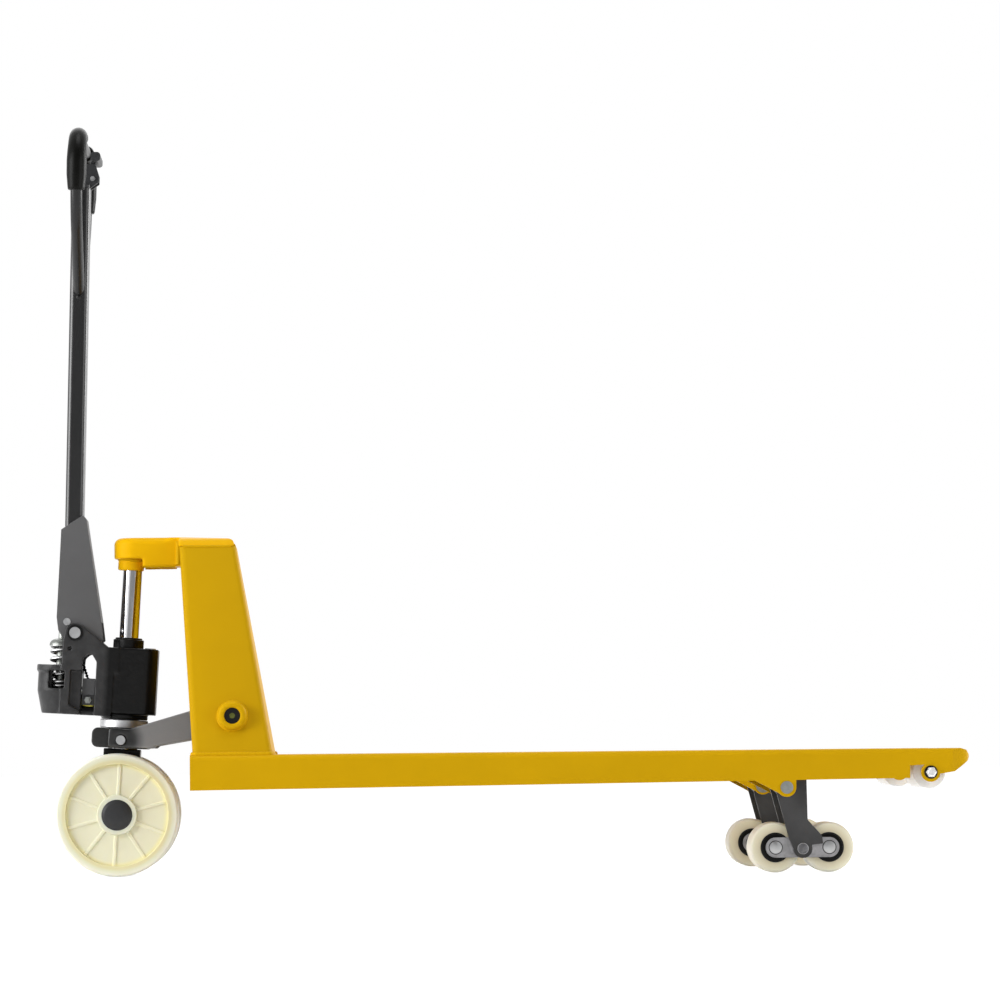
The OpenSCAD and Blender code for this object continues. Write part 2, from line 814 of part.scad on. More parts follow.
module release_screw() {
    color(steel) on_column() {
        rod_y([release_u, valve_w], screw_r, release_y - 12, release_y + 5.5);
        translate([release_u, release_y - 7, valve_w]) rotate([-90, 0, 0])
            cylinder(r = 2 * screw_r, h = 5, $fn = 6);
    }
}

module release_chain() {
    from = [release_u, 0, release_w + 10];
    to = [pivot_u, 0, pivot_w - pivot_r - 4];
    balls = 15;
    ball_r = 2.6;
    wire_r = 1.2;
    slant = atan2(to[0] - from[0], to[2] - from[2]);
    color(steel) on_column() {
        for (i = [0:balls]) translate(from + (to - from) * i / balls) sphere(r = ball_r, $fn = 24);
        translate(from) rotate([0, slant, 0]) cylinder(r = wire_r, h = norm(to - from));
    }
}

// Handle

module handle_bracket() {
    boss = 22;
    outline = [
        [-27, 169], [8, 193], bracket_web[0], bracket_web[1], [46, -11], [36, -20],
        boss * dir(300), boss * dir(270),
        boss * dir(240), boss * dir(210), [-28, 4], [-31, 25]
    ];
    strip = [
        [plate_y0, -30], [plate_y0, joggle_z[0]], [plate_y1 + 0.2, joggle_z[1]], [plate_y1 + 0.2, 200],
        [plate_y1 + plate_t + 0.2, 200], [plate_y1 + plate_t + 0.2, joggle_z[1]],
        [plate_y0 + plate_t, joggle_z[0]], [plate_y0 + plate_t, -30]
    ];
    skin = [
        [-plate_y0 - plate_t, -30], [-plate_y0 - plate_t, joggle_z[0]],
        [-plate_y1 - plate_t, joggle_z[1]], [-plate_y1 - plate_t, 200],
        [plate_y1 + plate_t, 200], [plate_y1 + plate_t, joggle_z[1]],
        [plate_y0 + plate_t, joggle_z[0]], [plate_y0 + plate_t, -30]
    ];
    web = [
        bracket_web[0], bracket_web[1], bracket_web[1] - [plate_t, 0.7], bracket_web[0] - [plate_t, 0.7]
    ];
    color(grey) on_handle() difference() {
        union() {
            both() intersection() {
                across(-60, 60) polygon(outline);
                along(-60, 60) polygon(strip);
            }
            intersection() {
                across(-60, 60) polygon(web);
                along(-60, 60) polygon(skin);
            }
        }
        rod_y([0, 0], pivot_r + run, -60, 60);
        rod_y(press_at, press_pin_r, -60, 60);
    }
}

module handle_tube() {
    half = tube_size / 2;
    color(black) on_handle() translate([tube_x, 0, tube_z0]) linear_extrude(tube_z1 - tube_z0) difference() {
        polygon(rounded([-half[0], half[0]], [-half[1], half[1]], tube_corner));
        polygon(rounded(
            [-half[0] + tube_wall, half[0] - tube_wall], [-half[1] + tube_wall, half[1] - tube_wall],
            tube_corner - tube_wall
        ));
    }
}

// A round bar between two points of the loop's plane, [y, z]
module loop_bar(a, b, r) {
    d = b - a;
    translate([tube_x, a[0], a[1]]) rotate([-atan2(d[0], d[1]), 0, 0]) cylinder(r = r, h = norm(d));
}

// The quarter bend between a loop side and the top bar
module loop_corner(r) {
    translate([tube_x, loop_w / 2 - loop_bend, loop_bar_z - loop_bend]) rotate([90, 0, 90])
        rotate_extrude(angle = 90) translate([loop_bend, 0]) circle(r = r);
}

module handle_loop() {
    knee_swell = 0.4;
    foot = [tube_size[1] / 2 - 4, loop_z0];
    knee = [loop_w / 2, loop_side_z0];
    shoulder = [loop_w / 2, loop_bar_z - loop_bend];
    color(grey) on_handle() difference() {
        union() {
            for (m = [0, 1]) mirror([0, m, 0]) {
                loop_bar(foot, knee, loop_r);
                translate([tube_x, knee[0], knee[1]]) sphere(r = loop_r + knee_swell);
                loop_bar(knee, shoulder, loop_r);
                loop_corner(loop_r);
            }
            loop_bar([-loop_w / 2 + loop_bend, loop_bar_z], [loop_w / 2 - loop_bend, loop_bar_z], loop_r);
        }
        translate([tube_x, 0, tube_z0]) linear_extrude(tube_z1 - tube_z0) square(tube_size, center = true);
    }
}

module grips() {
    y1 = loop_w / 2;
    color(rubber) on_handle() for (m = [0, 1]) mirror([0, m, 0]) difference() {
        union() {
            loop_bar([y1, grip_z0], [y1, loop_bar_z - loop_bend], grip_r);
            loop_corner(grip_r);
            loop_bar([grip_bar_y, loop_bar_z], [y1 - loop_bend, loop_bar_z], grip_r);
        }
        loop_bar([y1, grip_z0 - 1], [y1, loop_bar_z - loop_bend], loop_r);
        loop_corner(loop_r);
        loop_bar([grip_bar_y - 1, loop_bar_z], [y1 - loop_bend, loop_bar_z], loop_r);
    }
}

module handle_pins() {
    half = plate_y0 + plate_t + 1;
    color(steel) on_handle() {
        rod_y(press_at, press_pin_r, -half, half);
        rod_y(control_at, control_pin_r, -cheek_y[1] - 2, cheek_y[1] + 2);
    }
}

module press_roller() {
    half = 12;
    color(steel) on_handle() difference() {
        rod_y(press_at, press_r, -half, half);
        rod_y(press_at, press_pin_r + run, -half - 1, half + 1);
    }
}

module control_bracket() {
    cheek_top = control_at[1] + 24;
    base_t = 5;
    half = tube_size / 2;
    cheek = [
        [tube_x - 11, tube_z1], [tube_x - 11, control_at[1]], [tube_x - 5, cheek_top],
        [control_at[0] + 4, cheek_top], [control_at[0] + 10, control_at[1] + 6],
        [control_at[0] + 10, control_at[1] - 6], [tube_x + half[0], tube_z1]
    ];
    color(black) on_handle() difference() {
        union() {
            translate([tube_x, 0, tube_z1]) linear_extrude(base_t)
                polygon(rounded([-half[0], half[0]], [-half[1], half[1]], tube_corner));
            both() across(-cheek_y[1], -cheek_y[0]) polygon(cheek);
        }
        rod_y(control_at, control_pin_r, -cheek_y[1] - 1, cheek_y[1] + 1);
        rod_z([rod_x, 0], 4, tube_z1 - 1, tube_z1 + base_t + 1);
    }
}

module control_lever() {
    half = 10;
    tongue = 5;
    bar_half = 42;
    stem = [control_at[0] - 4, control_at[0] + 4];
    finger = [control_at[0] - 3, control_at[0] + 13];
    color(black) on_handle() difference() {
        union() {
            rod_y(control_at, 8, -half, half);
            across(-half, half) polygon([
                [stem[0], control_at[1]], [stem[1], control_at[1]], [stem[1], control_top - 4],
                [stem[0], control_top - 4]
            ]);
            across(-bar_half, bar_half) polygon(rounded(finger, [control_top - 15, control_top], 5));
            across(-3, 3) polygon([
                control_at + [0, tongue], control_at - [0, tongue],
                [rod_x - tongue, control_at[1] - tongue], [rod_x - tongue, control_at[1] + tongue]
            ]);
        }
        rod_y(control_at, control_pin_r + run, -half - 1, half + 1);
    }
}

module pull_rod() {
    z = [34, control_at[1] - 8];
    ferrule = 10;
    color(steel) on_handle() {
        rod_z([rod_x, 0], 2, z[0], z[1]);
        rod_z([rod_x, 0], 3.6, z[0], z[0] + ferrule);
    }
}

// Linkage

module rocker_arm() {
    dx = shaft[0] - column_x;
    dz = shaft[1] - wheel_r;
    hub = [dx * cos(lean) - dz * sin(lean), dx * sin(lean) + dz * cos(lean)];
    tie_u = 122;
    outline = [
        [0, 137], [16, 141.5], [118, 178], hub + [-6, arm_hub_r - 1], hub,
        hub + [-4, -arm_hub_r + 1], [113, 127.5], [57, 114.6], [55, 110.5], [0, 110.5]
    ];
    end = rounded([-20.5, 17], [110, 140.5], 5);
    color(black) on_column() difference() {
        union() {
            for (y = [-arm_y[1], arm_y[0]]) {
                across(y, y + arm_y[1] - arm_y[0]) polygon(outline);
                across(y, y + arm_y[1] - arm_y[0]) polygon(end);
            }
            rod_y(hub, arm_hub_r, -arm_y[1], arm_y[1]);
            translate([tie_u, -arm_y[1] + 2, 141]) cube([hub[0] - tie_u, 2 * arm_y[1] - 4, 14]);
        }
        rod_y(hub, shaft_r, -arm_y[1] - 1, arm_y[1] + 1);
        rod_y([0, link_w], link_pin_r, -arm_y[1] - 1, arm_y[1] + 1);
    }
}

module torsion_shaft() {
    half = 248;
    lever_hub_r = 24;
    lever_end_r = 14;
    color(steel) {
        rod_y(shaft, shaft_r, -half, half);
        both() {
            bar(shaft, rod_end, lever_hub_r, lever_end_r, fork_y - lever_t / 2, fork_y + lever_t / 2);
            rod_y(rod_end, lever_pin_r, fork_y - 20, fork_y + 20);
        }
    }
}

module link_pins() {
    y = [-96, -58];
    color(steel) on_column() both() rod_y([0, link_w], link_pin_r, y[0], y[1]);
}

module push_rod(left) {
    eye_r = 14;
    eye_y = [lever_t / 2 + 1, lever_t / 2 + 9];
    neck_x = rod_end[0] + 27;
    far = [load_pin[0] + crank[0], rod_end[1]];
    far_z = [-18, 16];
    far_half = 17;
    far_t = 8;
    slot_r = crank_pin_r + 1.2;
    slot_z = far[1] - 6.5;
    sided(left) color(grey) difference() {
        union() {
            for (y = [fork_y - eye_y[1], fork_y + eye_y[0]])
                bar(rod_end, [neck_x + 6, rod_end[1]], eye_r, eye_r - 3, y, y + eye_y[1] - eye_y[0]);
            translate([neck_x - 3, fork_y - eye_y[1], rod_end[1] - eye_r + 3])
                cube([20, 2 * eye_y[1], 2 * eye_r - 6]);
            rod_u([fork_y, rod_end[1]], rod_r, neck_x, far[0] - far_half + 5);
            translate([far[0] - far_half, fork_y - far_t, far[1] + far_z[0]])
                cube([2 * far_half, 2 * far_t, far_z[1] - far_z[0]]);
        }
        rod_y(rod_end, lever_pin_r + run, fork_y - 30, fork_y + 30);
        rod_y([far[0], slot_z], slot_r, fork_y - 30, fork_y + 30);
        translate([far[0] - slot_r, fork_y - 30, slot_z]) cube([2 * slot_r, 60, 2 * eye_r]);
    }
}

module load_frame(left) {
    sleeve_r = 11.5;
    knee = load_pin + [36, -52];
    toe = load_pin + [59, -78];
    outline = [
        load_pin + crank + [12, 0], load_pin + [35, 12], knee, toe, toe + [1, -12],
        bogie_pin + [15, 6], bogie_pin + [12, -5],
        bogie_pin, bogie_pin + [-15, 0], load_pin + [5, -78], load_pin + [-14, -5], load_pin,
        load_pin + crank + [-9, 8]
    ];
    sided(left) color(black) difference() {
        union() {
            for (y = [fork_y - frame_plate_y[1], fork_y + frame_plate_y[0]]) {
                t = frame_plate_y[1] - frame_plate_y[0];
                rod_y(load_pin, lug_r, y, y + t);
                rod_y(bogie_pin, lug_r, y, y + t);
                rod_y(load_pin + crank, 12, y, y + t);
                across(y, y + t) polygon(outline);
            }
            rod_y(load_pin, sleeve_r, fork_y - frame_plate_y[0] - 1, fork_y + frame_plate_y[0] + 1);
            rod_y(load_pin + crank, crank_pin_r, fork_y - frame_plate_y[1], fork_y + frame_plate_y[1]);
        }
        rod_y(load_pin, load_pin_r + run, fork_y0, fork_y1);
        rod_y(bogie_pin, bogie_pin_r + run, fork_y0, fork_y1);
    }
}

function load_axle(s) = [bogie_pin[0] + s * bogie_base / 2, axle_z];

module bogie(left) {
    axle_half = link_plate_y[1] + 0.5;
    plate_t = link_plate_y[1] - link_plate_y[0];
    sided(left) color(steel) {
        for (y = [fork_y - link_plate_y[1], fork_y + link_plate_y[0]])
            bar(load_axle(-1), load_axle(1), link_plate_r, link_plate_r, y, y + plate_t);
        for (s = [-1, 1]) rod_y(load_axle(s), load_axle_r, fork_y - axle_half, fork_y + axle_half);
        rod_y(bogie_pin, bogie_pin_r, fork_y - frame_plate_y[1] - 1, fork_y - link_plate_y[0]);
        rod_y(bogie_pin, bogie_pin_r, fork_y + link_plate_y[0], fork_y + frame_plate_y[1] + 1);
    }
}

module load_roller(left, s) {
    half = roller_w / 2;
    edge = 3;
    sided(left) color("#d8c8a4") translate([load_axle(s)[0], fork_y, load_axle(s)[1]]) rotate([-90, 0, 0])
        rotate_extrude() polygon([
            [load_axle_r + run, -half], [roller_r - edge, -half], [roller_r, -half + edge],
            [roller_r, half - edge], [roller_r - edge, half], [load_axle_r + run, half]
        ]);
}

fork(false);  // fork_right
fork(true);  // fork_left
heel(false);  // heel_right
heel(true);  // heel_left
frame_side(false);  // frame_side_right
frame_side(true);  // frame_side_left
back_plate();
ram_head();
shaft_bosses();
shaft_bushes();
frame_pins();
entry_bolts();
ram();
link_ring();
thrust_bearing();
pump_housing();
pump_cylinder();
gland_nut();
filler_plug();
release_valve();
lever_pin();
pivot_shaft();
circlips();
axle_carrier();
steer_axle();
steer_wheel(false);  // steer_wheel_right
steer_wheel(true);  // steer_wheel_left
wheel_bearings(false);  // wheel_bearings_right
wheel_bearings(true);  // wheel_bearings_left
hub_cap(false);  // hub_cap_right
hub_cap(true);  // hub_cap_left
pump_plunger();
pump_spring();
release_lever();
release_screw();
release_chain();
handle_bracket();
handle_tube();
handle_loop();
grips();
handle_pins();
press_roller();
control_bracket();
control_lever();
pull_rod();
rocker_arm();
torsion_shaft();
link_pins();
push_rod(false);  // push_rod_right
push_rod(true);  // push_rod_left
load_frame(false);  // load_frame_right
load_frame(true);  // load_frame_left
bogie(false);  // bogie_right
bogie(true);  // bogie_left
load_roller(false, -1);  // rear_roller_right
load_roller(true, -1);  // rear_roller_left
load_roller(false, 1);  // front_roller_right
load_roller(true, 1);  // front_roller_left
entry_roller(false);  // entry_roller_right
entry_roller(true);  // entry_roller_left
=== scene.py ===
import json
import math

import bmesh
import bpy
from mathutils import Matrix, Vector


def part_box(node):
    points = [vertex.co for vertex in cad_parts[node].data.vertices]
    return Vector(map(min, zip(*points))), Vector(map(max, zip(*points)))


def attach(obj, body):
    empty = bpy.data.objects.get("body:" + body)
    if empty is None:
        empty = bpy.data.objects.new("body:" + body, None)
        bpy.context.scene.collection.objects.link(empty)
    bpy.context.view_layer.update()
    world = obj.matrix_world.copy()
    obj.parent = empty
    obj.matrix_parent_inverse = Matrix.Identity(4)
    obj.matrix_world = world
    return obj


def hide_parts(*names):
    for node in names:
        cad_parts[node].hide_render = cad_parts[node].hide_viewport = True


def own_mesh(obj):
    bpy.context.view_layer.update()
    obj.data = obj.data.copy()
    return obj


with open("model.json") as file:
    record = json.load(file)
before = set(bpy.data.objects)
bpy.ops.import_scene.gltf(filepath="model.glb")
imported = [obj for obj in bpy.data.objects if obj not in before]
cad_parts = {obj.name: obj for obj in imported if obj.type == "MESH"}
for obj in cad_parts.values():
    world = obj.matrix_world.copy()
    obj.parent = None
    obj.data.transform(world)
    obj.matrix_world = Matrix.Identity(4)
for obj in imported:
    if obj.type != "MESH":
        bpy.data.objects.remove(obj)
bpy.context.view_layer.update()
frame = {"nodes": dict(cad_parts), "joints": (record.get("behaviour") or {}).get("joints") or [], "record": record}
nodes = frame["nodes"]
scene = bpy.context.scene
SIDES = ("right", "left")
ENDS = ("rear", "front")
MM = 0.001


# Places taken from the frame

joints = {joint["name"]: joint for joint in frame["joints"]}
COLUMN_UP = Vector(joints["lift"]["axis"])
COLUMN_ACROSS = Vector((COLUMN_UP.z, 0, -COLUMN_UP.x))
AXLE = Vector(joints["steer"]["pos_m"])
LINK_PIN_W = 121.5
LINK_PIN = AXLE + LINK_PIN_W * MM * COLUMN_UP
HANDLE_UP = Vector(joints["pull_slide"]["axis"])
HANDLE_ACROSS = Vector((HANDLE_UP.z, 0, -HANDLE_UP.x))
PIVOT = Vector(joints["handle"]["pos_m"])
SHAFT = Vector(joints["rocker"]["pos_m"])


def joint_at(name):
    return Vector(joints[name]["pos_m"])


def on_column(u, y, w):
    """A point given in millimetres square to, across and along the steering column."""
    return AXLE + (u * COLUMN_ACROSS + w * COLUMN_UP) * MM + Vector((0, y * MM, 0))


def column_place(point):
    """A point's millimetres square to and along the steering column."""
    offset = (point - AXLE) / MM
    return offset.dot(COLUMN_ACROSS), offset.dot(COLUMN_UP)


def on_handle(x, y, z):
    """A point given in millimetres from the handle's pivot, along the handle's own axes."""
    return PIVOT + (x * HANDLE_ACROSS + z * HANDLE_UP) * MM + Vector((0, y * MM, 0))


# Materials

GLOW_DEPTH = (0.012, 0.010, 0.006)
GLOW_SCALE = 0.5


def new_material(name, colour, roughness, metallic=0.0):
    """A material with its Principled shader set to plain values, which later calls add detail to."""
    mat = bpy.data.materials.new(name)
    mat.use_nodes = True
    shader = mat.node_tree.nodes["Principled BSDF"]
    shader.inputs["Base Color"].default_value = (*colour, 1)
    shader.inputs["Roughness"].default_value = roughness
    shader.inputs["Metallic"].default_value = metallic
    return mat, shader


def add_node(mat, kind, **sockets):
    node = mat.node_tree.nodes.new(kind)
    for key, value in sockets.items():
        node.inputs[key.replace("_", " ")].default_value = value
    return node


def link(mat, a, b):
    mat.node_tree.links.new(a, b)


def noise(mat, scale, detail=4.0, stretch=(1, 1, 1)):
    """Noise in the piece's own coordinates, in cycles per metre."""
    place = add_node(mat, "ShaderNodeTexCoord")
    mapping = add_node(mat, "ShaderNodeMapping", Scale=stretch)
    texture = add_node(mat, "ShaderNodeTexNoise", Scale=scale, Detail=detail)
    link(mat, place.outputs["Object"], mapping.inputs["Vector"])
    link(mat, mapping.outputs["Vector"], texture.inputs["Vector"])
    return texture.outputs["Fac"]


def ramp(mat, value, stops):
    node = add_node(mat, "ShaderNodeValToRGB")
    elements = node.color_ramp.elements
    while len(elements) < len(stops):
        elements.new(0.5)
    for element, (place, colour) in zip(elements, stops):
        element.position = place
        element.color = (*colour, 1) if len(colour) == 3 else colour
    link(mat, value, node.inputs["Fac"])
    return node.outputs["Color"]


def spread(mat, value, low, high):
    """Maps 0.3 to 0.7, where noise mostly lies, onto low to high."""
    node = add_node(mat, "ShaderNodeMapRange")
    for key, number in (("From Min", 0.3), ("From Max", 0.7), ("To Min", low), ("To Max", high)):
        node.inputs[key].default_value = number
    link(mat, value, node.inputs["Value"])
    return node.outputs["Result"]


def multiplied(mat, a, b):
    """The product of two colours."""
    node = mat.node_tree.nodes.new("ShaderNodeMix")
    node.data_type = "RGBA"
    node.blend_type = "MULTIPLY"
    factor, first, second = (node.inputs[k] for k in (0, 6, 7))
    factor.default_value = 1.0
    link(mat, a, first)
    link(mat, b, second)
    return node.outputs[2]


def vector_math(mat, operation, vector, value=None):
    node = mat.node_tree.nodes.new("ShaderNodeVectorMath")
    node.operation = operation
    link(mat, vector, node.inputs[0])
    if value is not None:
        node.inputs[1].default_value = value
    return node


def offset_from(mat, centre):
    """The vector from a point of the frame, in metres."""
    place = add_node(mat, "ShaderNodeTexCoord")
    return vector_math(mat, "SUBTRACT", place.outputs["Object"], centre).outputs["Vector"]


def set_glow(shader, weight):
    """Lets light into a plastic to some depth."""
    shader.inputs["Subsurface Weight"].default_value = weight
    shader.inputs["Subsurface Radius"].default_value = GLOW_DEPTH
    shader.inputs["Subsurface Scale"].default_value = GLOW_SCALE


def bump(mat, shader, height, strength, distance, under=None):
    node = add_node(mat, "ShaderNodeBump", Strength=strength, Distance=distance)
    link(mat, height, node.inputs["Height"])
    if under:
        link(mat, under.outputs["Normal"], node.inputs["Normal"])
    link(mat, node.outputs["Normal"], shader.inputs["Normal"])
    return node


def scaled(colour, factor):
    return tuple(min(1.0, c * factor) for c in colour)


def mottled(mat, shader, colour, scale, change):
    """Varies a colour a little from place to place."""
    link(mat, ramp(mat, noise(mat, scale), [
        (0.3, scaled(colour, 1 - change)),
        (0.7, scaled(colour, 1 + change)),
    ]), shader.inputs["Base Color"])


def paint(name, colour, roughness, peel, peel_scale, change=0.05, cast=0.0, shine=0.2):
    """Sprayed paint: orange peel, uneven gloss and, on a casting, the sand's lumps below it."""
    mat, shader = new_material(name, colour, roughness)
    shader.inputs["Specular IOR Level"].default_value = shine
    mottled(mat, shader, colour, 9.0, change)
    gloss = spread(mat, noise(mat, 23.0), roughness * 0.93, roughness * 1.07)
    link(mat, gloss, shader.inputs["Roughness"])
    under = None
    if cast:
        under = bump(mat, shader, noise(mat, 130.0, 8.0), cast, 0.0012)
    bump(mat, shader, noise(mat, peel_scale, 2.0), peel, 0.0004, under)
    return mat


def metal(name, colour, roughness, change=0.08, brush=(1, 1, 1), scratch=0.1):
    mat, shader = new_material(name, colour, roughness, 1.0)
    mottled(mat, shader, colour, 60.0, change)
    lines = noise(mat, 300.0, 6.0, brush)
    link(mat, spread(mat, lines, roughness * 0.7, roughness * 1.4), shader.inputs["Roughness"])
    bump(mat, shader, lines, scratch, 0.0002)
    return mat


def plastic(name, colour, roughness, change, scale, grain, grain_scale, glow=0.0, shine=0.25):
    """Moulded plastic or rubber, with a fine grain and, where glow is set, light inside it."""
    mat, shader = new_material(name, colour, roughness)
    shader.inputs["Specular IOR Level"].default_value = shine
    mottled(mat, shader, colour, scale, change)
    bump(mat, shader, noise(mat, grain_scale, 3.0), grain, 0.0003)
    if glow:
        set_glow(shader, glow)
    return mat


def radial(mat, centre):
    """The distance from a line along Y through centre, in metres."""
    flat = vector_math(mat, "MULTIPLY", offset_from(mat, centre), (1, 0, 1))
    return vector_math(mat, "LENGTH", flat.outputs["Vector"]).outputs["Value"]


def banded(name, centre, radius, bands, glow, shine=0.2):
    """Moulded plastic of a wheel, whose colour changes with the share of its radius."""
    mat, shader = new_material(name, bands[0][1], 0.4)
    share = add_node(mat, "ShaderNodeMath")
    share.operation = "DIVIDE"
    share.inputs[1].default_value = radius
    link(mat, radial(mat, centre), share.inputs[0])
    tint = ramp(mat, share.outputs["Value"], bands)
    blotches = ramp(mat, noise(mat, 16.0), [(0.3, (0.95, 0.95, 0.93)), (0.7, (1.0, 1.0, 1.0))])
    link(mat, multiplied(mat, tint, blotches), shader.inputs["Base Color"])
    shader.inputs["Specular IOR Level"].default_value = shine
    set_glow(shader, glow)
    bump(mat, shader, noise(mat, 300.0, 3.0), 0.05, 0.0003)
    return mat


def arm_paint(name, colour, end_colour):
    """Paint on the rocker: mid grey along the arm and near black round the link pin."""
    mat = paint(name, colour, 0.3, 0.15, 500.0, 0.2, 0.2, 0.45)
    tint = ramp(mat, radial(mat, LINK_PIN), [(0.022, end_colour), (0.04, colour)])
    link(mat, tint, mat.node_tree.nodes["Principled BSDF"].inputs["Base Color"])
    return mat


# Across the column, the pump's painted light fades from lighter grey into black between these two places.
PUMP_LIT_TO = -0.037
PUMP_DARK_FROM = -0.027


def pump_paint_painted_light(name, lit_grey, dark):
    """Paint on the pump: black on the body, and lighter grey on the ears and the spring housing, on the side
    towards the key light: painted light.
    """
    mat = paint(name, dark, 0.33, 0.2, 500.0, 0.25, 0.35, 0.18)
    across = vector_math(mat, "DOT_PRODUCT", offset_from(mat, AXLE), COLUMN_ACROSS)
    share = add_node(mat, "ShaderNodeMapRange")
    share.inputs["From Min"].default_value = PUMP_LIT_TO
    share.inputs["From Max"].default_value = PUMP_DARK_FROM
    link(mat, across.outputs["Value"], share.inputs["Value"])
    tint = ramp(mat, share.outputs["Result"], [(0.0, lit_grey), (1.0, dark)])
    blotches = ramp(mat, noise(mat, 60.0), [(0.3, (0.6, 0.6, 0.6)), (0.7, (1.0, 1.0, 1.0))])
    shader = mat.node_tree.nodes["Principled BSDF"]
    link(mat, multiplied(mat, tint, blotches), shader.inputs["Base Color"])
    return mat


def steel_with_painted_shade(name, colour, underside_shade):
    """Bright wire, darker on its underside: painted shade."""
    mat = metal(name, colour, 0.3, 0.1, (1, 1, 1), 0.05)
    surface = add_node(mat, "ShaderNodeNewGeometry")
    parts = add_node(mat, "ShaderNodeSeparateXYZ")
    link(mat, surface.outputs["Normal"], parts.inputs["Vector"])
    share = add_node(mat, "ShaderNodeMapRange")
    share.inputs["From Min"].default_value = -1.0
    link(mat, parts.outputs["Z"], share.inputs["Value"])
    # The side of the wire that faces down is darkened: painted shade.
    tint = ramp(mat, share.outputs["Result"], [(0.3, underside_shade), (0.5, colour)])
    link(mat, tint, mat.node_tree.nodes["Principled BSDF"].inputs["Base Color"])
    return mat


YELLOW = paint("yellow_paint", (0.62, 0.355, 0.003), 0.4, 0.12, 420.0, 0.03, shine=0.03)
BLACK = paint("black_paint", (0.005, 0.005, 0.005), 0.33, 0.2, 500.0, 0.25, 0.35, 0.18)
# The frame's side plates take a darker copy of the yellow paint, because their upward tilt catches more light:
# painted shade.
SHADED_FRAME_YELLOW = paint("frame_paint_painted_shade", (0.54, 0.31, 0.003), 0.4, 0.12, 420.0, 0.03, shine=0.03)
# The nose and the ram's cup take a lighter copy of the yellow paint, for the light their rounded sides catch:
# painted light.
LIT_NOSE_YELLOW = paint("nose_paint_painted_light", (0.8, 0.44, 0.003), 0.4, 0.12, 420.0, 0.03, shine=0.03)
RING_PAINT = paint("ring_paint", (0.022, 0.022, 0.022), 0.4, 0.25, 500.0, 0.5, 0.35, 0.2)
# The pump's lighter grey towards the key light is painted light; the body's black is its own colour.
PUMP = pump_paint_painted_light("pump_paint_painted_light", (0.045, 0.045, 0.046), (0.005, 0.005, 0.005))
ARM = arm_paint("arm_paint", (0.2, 0.2, 0.203), (0.008, 0.008, 0.008))
GREY = paint("grey_paint", (0.105, 0.105, 0.107), 0.45, 0.12, 600.0, 0.06, shine=0.15)
LOOP = paint("loop_paint", (0.006, 0.006, 0.0065), 0.28, 0.12, 600.0, 0.1, shine=0.28)
TUBE = paint("tube_paint", (0.009, 0.009, 0.0095), 0.24, 0.12, 600.0, 0.1, shine=0.6)
LEG = paint("leg_paint", (0.045, 0.045, 0.046), 0.5, 0.25, 300.0, 0.6, 0.15, 0.3)
CHROME = metal("chrome", (0.72, 0.72, 0.74), 0.08, 0.03, (1, 1, 0.05), 0.02)
ZINC = metal("zinc", (0.38, 0.385, 0.39), 0.4, 0.12, (1, 1, 1), 0.12)
LINK_STEEL = metal("link_steel", (0.27, 0.268, 0.275), 0.4, 0.3, (1, 1, 1), 0.12)
PIN_STEEL = metal("pin_steel", (0.26, 0.27, 0.255), 0.4, 0.2, (1, 1, 1), 0.12)
STUB_STEEL = metal("stub_steel", (0.1, 0.1, 0.105), 0.45, 0.5, (1, 1, 1), 0.12)
BRIGHT = metal("ground_steel", (0.75, 0.75, 0.76), 0.25, 0.08, (1, 1, 1), 0.08)
RING_STEEL = metal("ring_steel", (0.6, 0.6, 0.61), 0.42, 0.04, (1, 1, 0.05), 0.02)
BRASS = metal("yellow_zinc", (0.3, 0.27, 0.05), 0.35, 0.3, (1, 1, 1), 0.12)
DULL_BRASS = metal("dull_brass", (0.1, 0.11, 0.03), 0.5, 0.3, (1, 1, 1), 0.12)
# The dark colour is the painted shade on the coils' underside.
SPRING = steel_with_painted_shade("spring_steel", (0.8, 0.8, 0.8), (0.03, 0.03, 0.03))
DARK_STEEL = metal("oiled_steel", (0.018, 0.018, 0.018), 0.45, 0.2, (1, 1, 1), 0.1)
WHEEL_RADIUS = 0.1
# The bands give the nylon's own tints: the paler hub and rim and the yellowish ring inside the rim. The hub band
# and the ring's bands are also made lighter to offset the shade that the hub cap and the rim's inner wall cast
# there: painted light.
WHEEL_BANDS_WITH_PAINTED_LIGHT = [
    (0.26, (0.76, 0.79, 0.66)), (0.36, (0.86, 0.84, 0.65)), (0.76, (0.86, 0.84, 0.65)),
    (0.81, (0.93, 0.88, 0.55)), (0.84, (0.79, 0.74, 0.46)), (0.87, (0.79, 0.74, 0.46)),
    (0.91, (0.82, 0.82, 0.63)), (0.99, (0.95, 0.94, 0.84)),
]
ROLLER_RADIUS = 0.04
ROLLER_BANDS = [
    (0.58, (0.63, 0.57, 0.41)), (0.72, (0.77, 0.71, 0.53)),
    (0.88, (0.86, 0.82, 0.64)), (0.98, (0.95, 0.92, 0.8)),
]
NYLON = banded("cream_nylon", AXLE, WHEEL_RADIUS, WHEEL_BANDS_WITH_PAINTED_LIGHT, 0.3)
WHITE = plastic("white_nylon", (0.95, 0.95, 0.95), 0.4, 0.03, 20.0, 0.05, 300.0, 0.1)
RUBBER = plastic("rubber_grip", (0.003, 0.003, 0.0025), 0.35, 0.2, 40.0, 0.1, 900.0, shine=0.1)
PLASTIC = plastic("black_plastic", (0.03, 0.031, 0.033), 0.4, 0.15, 40.0, 0.12, 700.0, shine=0.25)

SLOT_MATERIALS = {
    "yellow_paint": YELLOW, "black_paint": BLACK, "grey_paint": GREY, "black_plastic": PLASTIC,
    "rubber_grip": RUBBER, "chrome": CHROME, "zinc": ZINC, "spring_steel": SPRING,
    "cream_nylon": NYLON, "white_nylon": WHITE,
}


# Frame nodes

